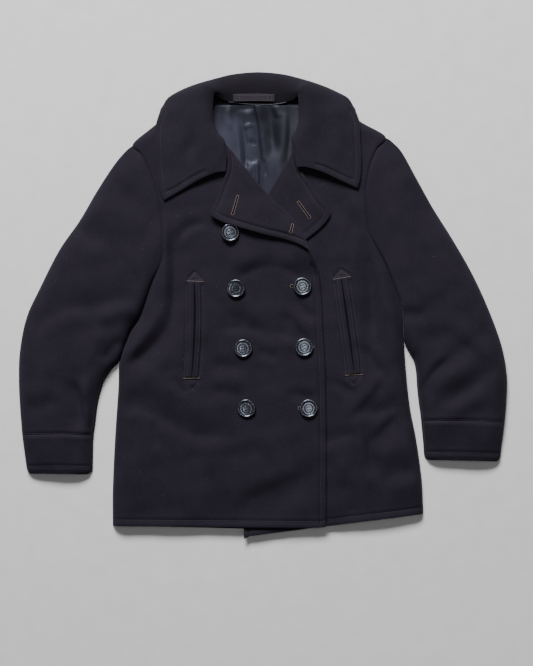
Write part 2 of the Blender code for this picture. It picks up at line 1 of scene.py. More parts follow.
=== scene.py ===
"""A double-breasted pea coat laid flat on its back, face up: cloth, stitching, buttons and light.

Tables are in millimetres: +X to the right as the coat is seen from above, +Y towards its collar,
+Z up from the floor. Left and right in names are the wearer's.
"""

import math

import bmesh
import bpy
import numpy as np
from mathutils import Matrix, Vector
from mathutils.bvhtree import BVHTree


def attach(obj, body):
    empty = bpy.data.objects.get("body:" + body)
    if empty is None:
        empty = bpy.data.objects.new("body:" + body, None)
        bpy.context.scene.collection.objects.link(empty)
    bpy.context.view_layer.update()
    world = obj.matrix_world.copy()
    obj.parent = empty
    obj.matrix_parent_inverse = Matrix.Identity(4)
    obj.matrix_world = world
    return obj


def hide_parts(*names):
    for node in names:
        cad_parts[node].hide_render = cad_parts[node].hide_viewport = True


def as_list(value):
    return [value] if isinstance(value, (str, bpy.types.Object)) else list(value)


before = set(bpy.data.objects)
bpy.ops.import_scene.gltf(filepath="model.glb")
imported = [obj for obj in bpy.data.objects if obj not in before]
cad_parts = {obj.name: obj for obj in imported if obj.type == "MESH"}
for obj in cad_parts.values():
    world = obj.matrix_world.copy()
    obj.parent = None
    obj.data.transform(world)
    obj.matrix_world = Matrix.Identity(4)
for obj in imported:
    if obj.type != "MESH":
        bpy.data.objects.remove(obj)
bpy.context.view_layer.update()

MM = 0.001
TINY = 1e-9
SHIFT = np.array((0.15, -2.5, 0.0))     # from the tables' zero to the frame's

CLOTH = 3.0                     # wall of the wool cloth
SATIN = 1.2                     # wall of the lining
SEAM = 0.3                      # gap between two pieces that meet
LAYER_GAP = 3 * SEAM            # gap between two layers of wool
CREASE = 1.4                    # gap, from the line between them, of cloth that bulges face to face
EDGE_CLEAR = 0.2                # kept between an upright edge of cloth and its neighbour

BACK_MID = CLOTH / 2            # height of the back's middle surface where it rests
BACK_CLIMB = 4.8                # how far the back rises to lie on the collar's fall
BACK_CLIMB_Y = (225.0, 312.0)
HOLLOW_TOP = 1.4                # the highest that the back lies over the floor in a hollow
LEFT_LEVEL = 12.0               # middle surface of the under front
LEFT_ASIDE_X = (112.0, 185.0)   # where the under front comes out to the top front's level
RIGHT_LEVEL = 16.6              # middle surface of the top front
LAPEL_CLIMB = 5.2               # how far the top front rises over the under front's lapel
LAPEL_CLIMB_X, LAPEL_CLIMB_Y = (-62.0, -30.0), (52.0, 84.0)
HEM_DROP = 2.4                  # how much lower a front lies at its hem
HEM_DROP_Y = (-300.0, -395.0)
SIDE_ROUND = 21.0               # how far in from a side edge the cloth reaches its level
SEAM_SINK, SEAM_WIDTH = 2.5, 2.9    # how far cloth dips into a seam, and over what width

SLEEVE_LEVEL = 22.0             # middle surface at a sleeve's crown
CUFF_LEVEL = 13.5
CUFF_REACH = 3.5                # rows over which a sleeve comes down to its cuff
SLEEVE_ROUND = 27.0
CROWN_SIDES = 0.9               # a sleeve's height beside its crown, as a share
HEAD_SHARE = 0.8                # how much less clear of its outline a sleeve is at its head
HEAD_EASE = (0.3, 1.0)          # shares of the armhole's curve between which a sleeve meets its height
SEWN_REACH = (1.5, 0.8)         # rows past the armhole's two ends over which a side edge eases in

ROLL_RADIUS = 2.3               # bend of a lapel at its roll
ROLL_SHARE = 4 / 7              # share of a front's edge strip that a roll takes up
ROLL_SOFT = 0.7                 # how much the lapel stands up beside its roll
SOFT_REACH = 9.0                # how far from the roll that is, and how wide
SOFT_START = (0.0, 0.2)         # shares of the lapel over which it starts
TURNED = (10.0, 75.0)           # turns, in degrees, between which a front's edge becomes a lapel
EDGE_TURN, LAPEL_TURN = 60.0, 100.0     # the most that an edge is turned and the least a lapel is

SPACING = 3.2                   # between the rows of points of a wool piece
LINING_SPACING = 2.0
SIDE_STEPS, PANEL_STEPS, ROLL_STEPS, LAPEL_STEPS = 10, 92, 10, 24   # columns across a front's parts
ARM_STEPS = 72                  # columns across a sleeve
BACK_STEPS, LINING_STEPS, LOOP_STEPS, LIP_STEPS = 44, 90, 60, 70
LOOP_ROWS, LIP_ROWS = 7, 9
TABLE_STEPS = 60                # places for each row at which a table's lines are measured

# The collar's creases fade in across it from its roll to its fall, and with its height. Places
# along and across it count the rows and points of its table.
COLLAR_FALL, COLLAR_HEIGHT, COLLAR_WAVE = (2.2, 3.2), (3.4, 9.0), 0.6
LEAF_ROWS = (5.0, 9.0)          # rows between which the left half starts to swing
LEAF_IN = 8.0                   # how far the left half's roll lies in over the lining
LEAF_IN_ROWS = ((3.0, 5.0), (12.0, 7.5))
LEAF_IN_ACROSS = (4.2, 2.2)
COLLAR_CENTRE = -9.0
LEFT_LEAF_PIVOT = (58.0, 365.0)     # the left half swings out and draws in about here
LEFT_LEAF_SWING = math.radians(6.0)
LEFT_LEAF_SCALE = 0.94
LEAF_SHARE = 0.52               # share of half the collar, from its tip, that its stitching edges
TIP_SHARE = 0.42                # share of its tip, from the neck seam, that has no stitching

LINING_PUFF = 2.2               # how high the lining stands over its seat between creases
LINING_LOW = -0.3               # the lining's lowest point over its seat
LINING_FREE = ((0.04, 0.2), (0.96, 0.8))    # shares of its width over which it comes free
PIPING_RADIUS, PIPING_SINK, PIPING_SPACING = 0.75, 0.4, 2.0

LOOP_THICK = 2.0
LOOP_START, LOOP_END = -54.0, 21.0
LOOP_FOOT, LOOP_TOP = 369.5, 383.0
LOOP_BOW, LOOP_BEND = 0.7, 0.9  # how far its middle stands up and bends to the collar
LOOP_STITCH = (5.0, 2.2)        # stitching inside the loop's ends and its long edges
LOOP_BARS = 7.0                 # from there to the bars across it

LIP_THICK = 1.6
LIP_WIDTH = 9.5
LIP_GAP = 0.4                   # between a lip and its front
LIP_SOFT, LIP_SOFT_AT = 0.9, 0.3    # how high a lip stands, and at what share of its width
LIP_STITCH = 6                  # which of a lip's rows its stitching follows
SLIT_MOST, SLIT_LEAST = 1.5, 0.35   # half the width of a pocket's slit
SLIT_NARROWS = 0.45             # how much narrower it is at its foot
SLIT_STITCHES = (-14.5, 14.5)   # lines of stitching beside a pocket's slit
SLIT_SEWN, SLIT_SHOWN = (0.03, 0.97, 20), (0.02, 0.94, 60)  # shares of its length, and points
STRIP_SHARE, STRIP_MORE = 0.9, 0.3  # the dark strip's width, as a share of the slit's and over it

# How far the sharp edges of each cloth are rounded.
EDGE_SOFT, SATIN_EDGE_SOFT, LOOP_EDGE_SOFT, LIP_EDGE_SOFT = 0.7, 0.3, 0.6, 0.5

# Stitching.
EDGE_STITCH = 9.0               # inside a front's, lapel's or collar's edge
EDGE_STOP = 8.0                 # below a lapel's first point, where its front's stitching stops
HEM_STITCH = 11.0
CUFF_STITCHES = (15.0, 71.0, 74.0)
BORDER_SPACING = 3.0            # between the points of a line inside an edge
CLEAR_SHARE = 0.96              # share of its inset that such a line keeps from the edge at a corner
PRESS_DEPTH = 1.5
PRESS_WIDTH = 2.7
PRESS_SPACING = 9.0
PRESS_PUFF = 0.28               # how far cloth stands up beside a line of stitching, of its depth
THREAD, THREAD_SIDES = 0.32, 6
PITCH, LOOP_PITCH = 3.2, 2.6    # length of a stitch
PITCH_POINTS = 4                # points along a stitch
STITCH_RISE, STITCH_SINK = 1.1, 0.75    # of the thread's radius, over and under the cloth
WHIP, WHIP_SIDES = 0.16, 8      # how much close loops of thread stand out from each other
BAR_WHIPS = (0.52, 0.3, 0.15)   # radius, spacing of points and height over the cloth of a bar
HOLE_WHIPS = (0.52, 0.22, 0.1)  # the same of a buttonhole's edging
HOLE_HALF = 1.9                 # from a buttonhole's middle to the middle of its edging
EYE_RADIUS, EYE_POINTS = 2.7, 48    # of the round end of a buttonhole's edging
HOLE_SLIT, EYE_SLIT = 1.2, 0.9  # half the width of a buttonhole's slit, and how much more at its eye
SLIT_IN, SLIT_SPACING = (1.0, 1.9), 0.8     # from the buttonhole's ends to its slit's
SLIT_EYE = (0.9, 0.98)          # shares of the slit between which it widens to its eye
SLIT_RISE = 0.08                # height of a slit's dark strip over the cloth
FILL_ROWS, FILL_SHARES = 10, (0.06, 0.9)    # stitches that fill a pocket's triangle
THREAD_MERGE, BUTTON_MERGE = 0.002 * MM, 0.001 * MM
RAY_START = 0.1                 # metres over or under the floor

BUTTON_RADIUS = 16.5
BUTTON_SIDES = 72
BUTTON_FACE = 3.0               # height of its face
BUTTON_FOLLOWS = 0.25           # share of the cloth's slope at which a button lies
BUTTON_SHARP, CLOTH_SHARP = math.radians(38), math.radians(60)     # sharper edges stay or are rounded
HOLE_RING, HOLE_RADIUS, HOLE_SIDES = 3.6, 1.15, 20
BUTTON_THREAD, BUTTON_THREAD_POINTS = 0.4, 15
THREADS_APART = 0.42            # from the middle of a pair of threads to each
THREAD_OVER, THREAD_DOWN = 0.15, 2.2    # over the button's face, and from there down a hole
THREAD_REACH, THREAD_BENDS = 1.1, 0.68  # half its length in holes' places, and where it turns down
# A button's outline from its middle round to its underside, as (radius, height).
BUTTON_OUTLINE = (
    (0.0, 3.0), (6.0, 3.0), (6.5, 3.05), (7.0, 3.3), (7.6, 3.35), (8.2, 3.05), (8.8, 3.0), (12.8, 3.0),
    (13.2, 3.25), (13.7, 3.6), (14.4, 3.75), (15.2, 3.65), (16.0, 3.2), (16.5, 2.4), (16.4, 1.6),
    (15.6, 0.7), (13.5, 0.0), (0.0, 0.0),
)
DOTS, DOT_RING, DOT_RADIUS, DOT_FLAT, DOT_RISE = 26, 10.8, 0.62, 0.6, 0.05

# A soft fold fades in and out over these shares of its length. Beside it, this many of its half
# widths out, the cloth moves the other way by a share of its height.
FOLD_START, FOLD_END = (-0.14, 0.26), (1.14, 0.74)
BESIDE_AT, BESIDE_SHARE = 1.9, 0.22
WAVE_SWAY, WAVE_SWAY_LENGTH = 9.0, 83.0     # how far the long waves of the cloth wind, and how often

# A row for each section across a front, hem first: x and y of its side seam or armhole, of the line
# it is rolled on and of its free edge, how many degrees the part past the roll is turned over, how
# high that part's edge stands over the front, and how much of the front's height is kept at the
# side (1 at a seam).
RIGHT_FRONT = (
    (-272, -396, 103, -399, 113, -397, 0, 0.0, 0),
    (-272, -330, 103, -330, 113, -330, 0, 0.0, 0),
    (-268, -240, 102, -240, 113, -240, 0, 0.0, 0),
    (-262, -150, 100, -150, 112, -150, 0, 0.0, 0.02),
    (-259, -97, 98, -90, 110, -90, 0, 0.0, 0.0),
    (-241, -48, 96, -45, 107, -45, 0, 0.0, 0.06),
    (-223, -19, 95, -12, 106, -12, 0, 0.0, 0.16),
    (-203, 39, 92, 30, 103, 30, 0, 0.0, 0.4),
    (-183, 84, 86, 64, 99, 62, 25, 2.0, 0.7),
    (-181, 111, 82, 90, 91, 87, 80, 5.5, 0.85),
    (-182, 138, 75, 116, 75, 106, 150, 6.0, 1),
    (-184, 165, 64, 139, 43, 120, 180, 5.0, 1),
    (-189, 192, 44, 164, -14, 134, 180, 9.4, 1),
    (-194, 212, 16, 190, -90, 161, 180, 10.2, 1),
    (-202, 235, -9, 217, -83, 194, 180, 5.0, 1),
    (-209, 253, -31, 244, -72, 226, 180, 4.4, 1),
    (-221, 276, -49, 266, -65, 246, 180, 4.4, 0.85),
    (-234, 292, -66, 287, -65.5, 272, 150, 4.4, 0.3),
    (-203, 322, -92, 308, -84, 314, 0, 0.0, 0),
    (-153, 358, -101, 346, -93, 352, 0, 0.0, 0),
    (-117, 377, -106, 373, -96, 375, 0, 0.0, 0),
)
LEFT_FRONT = (
    (290, -374, -23, -414, -34, -419, 0, 0.0, 0),
    (287, -312, -25, -336, -36, -338, 0, 0.0, 0),
    (277, -240, -27, -262, -38, -262, 0, 0.0, 0),
    (266, -183, -29, -186, -40, -186, 0, 0.0, 0),
    (259, -120, -31, -114, -41, -114, 0, 0.0, 0.02),
    (255, -60, -31, -56, -41, -56, 0, 0.0, 0.0),
    (253, -15, -31, 0, -41, 0, 0, 0.0, 0.1),
    (233, 48, -31, 48, -41, 50, 15, 1.0, 0.38),
    (210, 98, -29, 86, -38, 80, 80, 4.0, 0.7),
    (193, 132, -22, 118, -16, 92, 180, 4.3, 1),
    (189, 160, -7, 148, 30, 104, 180, 4.3, 1),
    (186, 192, -1, 178, 78, 122, 180, 4.3, 1),
    (186, 215, 13, 203, 121, 165, 180, 4.3, 1),
    (190, 240, 26, 226, 100, 197, 180, 4.3, 1),
    (196, 262, 39, 247, 81, 227, 180, 4.3, 1),
    (206, 285, 50, 266, 67, 248, 180, 4.3, 0.85),
    (220, 306, 58, 283, 61, 272, 150, 4.3, 0.3),
    (175, 335, 80, 314, 73, 320, 0, 0.0, 0),
    (121, 370, 85, 364, 74, 368, 0, 0.0, 0),
)
BACK_CENTRE = ((9, -403), (-2, 95), (-6, 235), (-11, 362))     # at hem, underarm, shoulder, neck

# A row for each section across a sleeve, armhole first: x and y of its outer edge and of its inner
# edge, and how much of the armhole's curve and height is left there.
RIGHT_SLEEVE = (
    (-234, 292, -183, 84, 1.0),
    (-250, 277, -193, 62, 0.85),
    (-270, 253, -203, 39, 0.7),
    (-299, 210, -223, -19, 0.4),
    (-331, 156, -241, -48, 0.2),
    (-368, 103, -259, -97, 0.08),
    (-404, 33, -272, -112, 0.0),
    (-428, -20, -287, -134, 0.0),
    (-440, -80, -295, -157, 0.0),
    (-442, -132, -300, -180, 0.0),
    (-440, -180, -303, -205, 0.0),
    (-436, -230, -307, -235, 0.0),
    (-431, -270, -308, -268, 0.0),
    (-427, -295, -309, -296, 0.0),
    (-422, -301, -314, -302, 0.0),
)
LEFT_SLEEVE = (
    (220, 306, 211, 98, 1.0),
    (233, 296, 222, 74, 0.85),
    (250, 278, 233, 48, 0.7),
    (276, 233, 253, -15, 0.4),
    (307, 178, 255, -60, 0.2),
    (340, 126, 265, -84, 0.08),
    (375, 66, 273, -98, 0.0),
    (404, 5, 277, -118, 0.0),
    (430, -64, 279, -146, 0.0),
    (441, -120, 282, -174, 0.0),
    (441, -165, 285, -195, 0.0),
    (437, -212, 287, -215, 0.0),
    (432, -249, 290, -246, 0.0),
    (429, -273, 292, -270, 0.0),
    (424, -279, 297, -276, 0.0),
)
# For each side of the coat: the tables of its front and of its sleeve, and the rows of the front, at
# the underarm and the shoulder, between which its side is the armhole.
SIDES = {"right": (RIGHT_FRONT, RIGHT_SLEEVE, 8, 17), "left": (LEFT_FRONT, LEFT_SLEEVE, 8, 16)}

# A row for each section of half the collar, middle of the back first, as (across, along, height)
# points on its middle surface: neck seam, inside of the roll, roll, outside of the roll, fall, edge.
HALF_COLLAR = (
    ((0, 364.5, 8.4), (0, 398, 12.8), (0, 422.5, 8), (0, 398, 2.8), (0, 360, 2), (0, 318, 2)),
    ((25, 366, 8.4), (24, 397, 13), (25, 421, 8.2), (26, 396, 2.9), (28, 360, 2), (31, 320, 2)),
    ((47, 369, 9.4), (47, 394, 14.7), (52, 417, 9.5), (60, 392, 3.2), (62, 362, 2), (64, 328, 2)),
    ((62, 373, 12.4), (64, 391, 19), (78, 409, 15.5), (97, 395, 6), (100, 368, 2), (96, 342, 2)),
    ((78, 380, 20.5), (76, 389, 26), (96, 400, 24.5), (133, 392, 11), (143, 377, 3.2), (130, 354, 1.9)),
    ((91, 376, 21.5), (80, 378, 25), (100, 385, 29), (137, 382, 21), (161, 376, 13), (168, 362, 5)),
    ((97, 360, 21), (82, 359, 24.6), (98, 361, 29), (130, 358, 25), (160, 354, 20.5), (178, 345, 14.5)),
    ((97, 334, 20.6), (82, 334, 24.4), (98, 334, 29), (130, 330, 25.4), (162, 325, 22.2), (185, 318, 19)),
    ((88, 311, 20.8), (73, 312, 24.6), (90, 311, 29), (126, 304, 25.4), (160, 296, 22.8), (184, 290, 20.6)),
    ((70, 297, 21.8), (60, 297, 25.2), (79, 292, 28.6), (117, 280, 25.2), (155, 266, 22.6), (183, 259, 20.6)),
    ((57.5, 283, 23.4), (62, 281, 26.4), (75, 276, 27.4), (111, 262, 25), (146, 245, 22.4), (181, 235, 20.6)),
    ((57, 262, 24), (66, 259, 25.6), (77, 254, 26.4), (107, 242, 24.2), (142, 222, 22.2), (176, 208, 20.6)),
    ((58, 243, 23.6), (67, 242, 24.6), (78, 240, 25), (106, 228, 23.6), (138, 209, 22), (169, 191, 20.6)),
)
COLLAR_ROWS = np.reshape(HALF_COLLAR, (len(HALF_COLLAR), -1))
FALL_AND_EDGE = ((12, 13, 14), (15, 16, 17))     # columns of those rows

# A row for each section of the lining, collar end first: x and y of its two ends.
LINING = ((-86, 363, 68, 363), (-98, 332, 80, 332), (-98, 285, 84, 285), (-84, 240, 80, 240),
          (-54, 200, 66, 200), (-26, 168, 46, 168))
# The route of the satin cord along the lining's top.
PIPING = ((-62, 369.5), (-40, 366.8), (-20, 365.3), (0, 364.9), (16, 365.0), (30, 366.6), (42, 369.0))

# A row for each soft fold: x0, y0 and x1, y1 of its ends, how far its middle is bowed to the left
# of that way, how high it stands (below 0, a trough), its half width, and how much steeper its
# left side is (below 0, its right side).
FOLDS = (
    # the top front, beside the sleeve and across the skirt
    (-106, 152, -160, 112, -9, -3.0, 10, 0.2),
    (-160, 122, -164, -30, 3, -7.0, 11, -0.2),
    (-174, 158, -178, 8, -3, 3.4, 8, 0.2),
    (-182, 2, -250, -88, 6, 3.8, 12, 0.2),
    (-164, -24, -240, -108, 8, -5.6, 14, -0.2),
    (-228, -122, -84, -202, 10, 2.6, 20, 0.2),
    (-262, -166, -150, -222, 8, -3.8, 17, -0.3),
    (-160, -216, -30, -228, -8, -3.0, 17, -0.2),
    (-168, -130, -136, -158, 0, -2.6, 9, 0.0),
    (-196, -206, -192, -256, 0, -1.8, 12, 0.0),
    (-112, -224, -122, -282, 0, -2.0, 15, 0.0),
    (-256, -184, -232, -192, 0, -1.8, 9, 0.0),
    (-84, -232, 30, -250, 4, 1.8, 18, 0.0),
    # its middle, between the buttons
    (-46, 52, 78, 46, 26, -2.1, 13, -0.3),
    (-36, 70, 62, 70, 24, 1.0, 14, 0.0),
    (-72, -36, 34, -60, 8, -2.8, 14, -0.3),
    (14, -44, 84, -70, 4, -2.4, 11, -0.2),
    (32, -14, 78, -62, 3, -2.6, 10, 0.2),
    (56, 14, 90, -24, 0, -2.4, 8, 0.0),
    (-74, 14, -54, -26, 0, -2.0, 11, 0.0),
    (-40, 22, -18, -34, 3, 2.4, 10, 0.0),
    (2, -44, 58, -78, 4, 2.2, 14, 0.0),
    (-96, -108, -30, -112, 2, -1.8, 12, 0.0),
    (-90, -150, -36, -166, 3, -2.2, 12, 0.0),
    (46, -154, 94, -168, 0, -2.6, 10, 0.0),
    (-10, -82, 26, -92, 0, -2.0, 9, 0.0),
    (38, 160, 96, 84, -12, 2.4, 14, 0.0),
    # its foot
    (92, -306, -58, -382, -8, -3.8, 24, -0.3),
    (50, -274, -84, -326, 6, 1.6, 26, 0.0),
    (104, -348, 24, -396, 0, 1.4, 18, 0.0),
    (-130, -262, -112, -330, 4, -1.4, 18, 0.0),
    (-236, -270, -210, -372, -6, 1.4, 20, 0.0),
    # the under front
    (180, 122, 197, -62, 6, -6.0, 13, 0.2),
    (212, 74, 238, -88, 4, 3.6, 13, 0.0),
    (140, 160, 142, 84, 0, 1.8, 14, 0.0),
    (132, 196, 172, 132, 0, -2.8, 14, 0.0),
    (184, -74, 214, -128, 0, -3.0, 10, 0.2),
    (212, -120, 150, -192, 4, 3.0, 11, 0.2),
    (168, -190, 262, -170, -6, -3.4, 15, -0.3),
    (198, -252, 262, -184, 4, -3.4, 13, 0.3),
    (168, -196, 206, -336, -6, 3.0, 10, 0.3),
    (192, -226, 200, -306, -4, -3.0, 10, 0.0),
    (210, -270, 262, -236, 0, 1.8, 17, 0.0),
    (208, -308, 280, -292, 0, -2.4, 16, -0.2),
    (106, -248, 170, -226, 3, -2.6, 14, -0.2),
    (118, -132, 168, -158, 0, -2.4, 10, 0.0),
    (146, -316, 170, -380, 0, -2.0, 18, 0.0),
    (230, -330, 282, -318, 0, 1.6, 14, 0.0),
    # the right sleeve
    (-272, 236, -194, 168, -7, -3.4, 16, 0.2),
    (-238, 286, -206, 170, 7, 2.2, 9, 0.0),
    (-340, 144, -286, 112, 0, -2.6, 15, 0.0),
    (-310, 190, -262, 140, 0, 1.6, 18, 0.0),
    (-420, -50, -338, 8, 7, -3.6, 18, -0.2),
    (-352, 4, -236, 18, -6, -3.0, 19, -0.3),
    (-398, -16, -300, 40, 6, 1.6, 20, 0.0),
    (-298, -22, -236, -2, 2, 3.0, 14, 0.0),
    (-286, -98, -258, -58, 0, -4.6, 12, 0.2),
    (-292, -44, -310, -104, -4, 2.8, 13, 0.2),
    (-406, -84, -398, -182, 4, 2.6, 24, 0.0),
    (-344, -134, -326, -216, 4, -5.2, 12, 0.3),
    (-320, -130, -316, -210, 0, 3.2, 9, 0.0),
    (-426, -186, -372, -170, 0, -1.8, 14, 0.0),
    # the left sleeve
    (200, 216, 262, 258, 4, -3.2, 15, 0.2),
    (214, 222, 236, 150, 0, 2.4, 16, 0.0),
    (204, 296, 190, 176, -4, 2.0, 9, 0.0),
    (262, 236, 322, 94, 5, -3.6, 14, 0.3),
    (300, 130, 352, 40, 0, 1.8, 18, 0.0),
    (250, -10, 292, -16, 0, -3.0, 11, 0.0),
    (282, 20, 330, 32, 0, 2.0, 15, 0.0),
    (306, -40, 384, -98, 6, -2.8, 17, 0.2),
    (284, -158, 336, -94, 4, -3.8, 12, 0.3),
    (336, -92, 376, -68, 3, -1.8, 13, 0.0),
    (290, -148, 382, -102, 4, 2.0, 15, 0.2),
    (322, -172, 412, -110, -6, -3.2, 15, -0.2),
    (396, -60, 424, -150, 0, 2.4, 14, 0.0),
    (326, -200, 400, -158, 0, 2.0, 14, 0.0),
)
# A row for each long wave of the cloth: its way in degrees, its length, its height and its phase.
WAVES = (
    (18, 92, 0.42, 0.3), (71, 74, 0.36, 1.9), (128, 58, 0.28, 4.4), (156, 113, 0.45, 2.6),
    (96, 41, 0.16, 0.8), (40, 33, 0.12, 5.1), (170, 29, 0.10, 3.3),
)
LINING_CREASES = (
    # the pleat down its middle and the crease beside it
    (-15, 372, 0, 258, 3, 3.0, 6, -0.6),
    (-38, 334, -31, 246, 3, -2.6, 4.5, 0.3),
    (-49, 336, -43, 262, 0, 2.2, 12, 0.0),
    (-27, 352, -22, 300, 0, 1.8, 8, 0.0),
    (-50, 357, -14, 361, 0, -1.0, 6, 0.0),
    # small crosswise wrinkles between them
    (-28, 296, -9, 293, 0, -0.8, 4, -0.3),
    (-28, 283, -10, 280, 2, 0.7, 7, 0.0),
    (-30, 266, -12, 263, -2, -0.8, 4, -0.3),
    (-27, 244, -12, 262, 0, 1.0, 6, 0.3),
    (-34, 322, -20, 326, 2, 1.2, 4, 0.0),
    (-26, 338, -16, 330, 0, -1.0, 3, 0.0),
    # below them
    (-11, 264, -9, 216, 0, 1.8, 4, 0.0),
    (-5, 262, -5, 200, 0, -1.6, 4, 0.3),
    (1, 266, 4, 236, 0, -2.0, 4, 0.0),
    (-66, 244, -22, 232, 0, 3.2, 26, 0.0),
    # towards the left front
    (14, 352, 74, 352, 0, -1.2, 16, 0.0),
    (12, 362, 15, 292, 0, -1.4, 10, 0.0),
    (37, 366, 38, 286, 2, 1.4, 9, 0.3),
    (22, 362, 28, 342, 0, 1.4, 6, 0.0),
    (52, 350, 46, 262, 0, -1.6, 8, 0.0),
    (17, 280, 30, 216, 3, 1.4, 16, 0.0),
    (2, 330, 8, 276, 0, 1.2, 7, 0.0),
    # towards the right front
    (-76, 350, -66, 282, -3, -1.6, 8, 0.0),
    (-62, 362, -58, 320, 0, 1.2, 6, 0.0),
)
# Folds of the collar's two leaves.
COLLAR_FOLDS = (
    (-112, 352, -136, 268, 3, -3.0, 10, 0.2),
    (-142, 360, -150, 300, 0, -1.6, 10, 0.0),
    (-160, 330, -170, 240, 0, 1.0, 12, 0.0),
    (-130, 262, -112, 224, 0, 1.4, 12, 0.0),
    (66, 346, 80, 288, -2, -1.8, 7, 0.2),
    (84, 330, 96, 296, 0, -1.2, 6, 0.0),
    (120, 352, 140, 270, 4, 1.6, 14, 0.0),
    (150, 300, 158, 232, 0, -1.0, 12, 0.0),
    (100, 262, 120, 226, 0, 1.0, 12, 0.0),
)
# Hollows on the coat's underside, where the cloth doesn't quite touch the floor.
BACK_HOLLOWS = (
    (-190, -340, -150, -120, 8, 1.6, 16, 0.0),
    (-70, -380, -40, -200, -6, 1.3, 14, 0.0),
    (60, -330, 90, -90, 5, 1.5, 18, 0.0),
    (200, -300, 170, -60, -8, 1.6, 15, 0.0),
    (-160, 20, -40, 60, 6, 1.2, 15, 0.0),
    (40, 80, 160, 30, -5, 1.4, 16, 0.0),
    (-120, 130, 20, 170, 4, 1.1, 14, 0.0),
    (-390, -200, -330, -60, 6, 1.5, 12, 0.0),
    (-380, -40, -280, 20, -5, 1.4, 13, 0.0),
    (-330, 60, -260, 140, 4, 1.3, 12, 0.0),
    (330, -230, 390, -100, -6, 1.5, 12, 0.0),
    (300, -60, 390, -30, 5, 1.4, 12, 0.0),
    (250, 60, 330, 120, -4, 1.3, 13, 0.0),
)

# A row for each button: its middle, how far its holes are turned and how far it leans to +X and
# to +Y, in degrees.
BUTTONS = (
    (-58.5, 133, 20, 3.4, 0.2),
    (-49, 32, 35, -5.0, 0.8),
    (-36, -75.5, 10, -1.4, 0.5),
    (-30, -183.5, 25, -1.5, -0.5),
    (71, 36, 12, 0.4, 0.3),
    (74, -74, 20, 0.0, 0.0),
    (82, -183.5, 8, 0.3, 0.3),
)
# For each pocket: x and y of its slit's top and of its foot, and how far it bows to +X.
POCKETS = {"right": (-124, 44.5, -128.5, -127, 3.0), "left": (141.5, 50.5, 165, -121.5, 0.4)}
# A row for each end of a pocket: its front, the bar across it, the triangle sewn beyond the bar,
# and whether the triangle is filled with stitches.
POCKET_ENDS = (
    ("right", ((-137, 46), (-107, 45)), ((-135, 49), (-110, 48.5), (-123, 63)), True),
    ("right", ((-144, -129.5), (-114, -129)), ((-142, -133), (-113, -133), (-128, -152)), False),
    ("left", ((126, 49), (158, 54)), ((129, 53), (156, 57), (140, 67)), True),
    ("left", ((148, -124), (180, -122.5)), ((150, -127), (178, -126), (163, -141)), False),
)

# A row for each buttonhole: the front it is cut in, its straight end and its round end.
BUTTONHOLES = (
    ("right", (-45, 199), (-55, 164.5)),
    ("left", (63, 189), (85, 159)),
    ("right", (53.5, 148), (49.5, 131)),
    ("right", (73, 36), (49, 37)),
    ("right", (68, -74), (92, -73)),
    ("right", (87, -183), (63, -183)),
)


# --- numbers ---------------------------------------------------------------------------------

def smooth_step(value, start, end):
    """0 before start and 1 after end, eased between them; start may be above end."""
    share = np.clip((value - start) / (end - start), 0.0, 1.0)
    return share * share * (3.0 - 2.0 * share)


def bell(away, width):
    """1 at a place, easing to 0 on both sides of it."""
    return np.exp(-((away / width) ** 2))


def rounding(distance, reach):
    """The share of its full height that cloth has at a distance from a rounded edge."""
    return np.sqrt(np.clip(1.0 - (1.0 - np.clip(distance / reach, 0.0, 1.0)) ** 2, 0.0, 1.0))


def cosine_steps(count):
    """Shares from 0 to 1 that lie closer together near both ends."""
    return 0.5 - 0.5 * np.cos(math.pi * np.arange(count + 1) / count)


def unit(vectors):
    return vectors / np.maximum(np.linalg.norm(vectors, axis=-1), TINY)[..., None]


def raised(flat, height):
    """Points seen from above, given their heights."""
    return np.concatenate((flat, np.asarray(height)[..., None]), axis=-1)


def run_along(line):
    """How far along a line each of its points is; a grid's columns are a line each."""
    steps = np.linalg.norm(np.diff(line, axis=0), axis=-1)
    return np.concatenate((np.zeros((1, *steps.shape[1:])), np.cumsum(steps, axis=0)))


def rows_at(table, places):
    """A table's rows at places between its rows, on a smooth curve through them."""
    rows = np.array(table, float)
    last = len(rows) - 1
    places = np.asarray(places, float)
    i = np.minimum(places.astype(int), last - 1)
    t = (places - i)[:, None]
    before, after = rows[np.maximum(i - 1, 0)], rows[np.minimum(i + 2, last)]
    slope_0 = (rows[i + 1] - before) / np.where(i > 0, 2.0, 1.0)[:, None]
    slope_1 = (after - rows[i]) / np.where(i + 2 <= last, 2.0, 1.0)[:, None]
    return (
        rows[i] * (2 * t**3 - 3 * t**2 + 1) + slope_0 * (t**3 - 2 * t**2 + t)
        + rows[i + 1] * (3 * t**2 - 2 * t**3) + slope_1 * (t**3 - t**2)
    )


def even_places(table, lines, start, end, spacing):
    """Places along a table at an even spacing, measured on the mean of some of its point columns."""
    fine = np.linspace(start, end, int(TABLE_STEPS * (end - start)) + 1)
    rows = rows_at(table, fine)
    run = np.mean([run_along(rows[:, line]) for line in lines], axis=0)
    count = max(int(run[-1] / spacing), 2)
    return np.interp(np.linspace(0.0, run[-1], count + 1), run, fine)


def even_line(line, spacing):
    """The same line with its points at an even spacing."""
    line = np.asarray(line, float)
    run = run_along(line)
    count = max(int(round(run[-1] / spacing)), 1)
    wanted = np.linspace(0.0, run[-1], count + 1)
    return np.stack([np.interp(wanted, run, values) for values in line.T], axis=1)


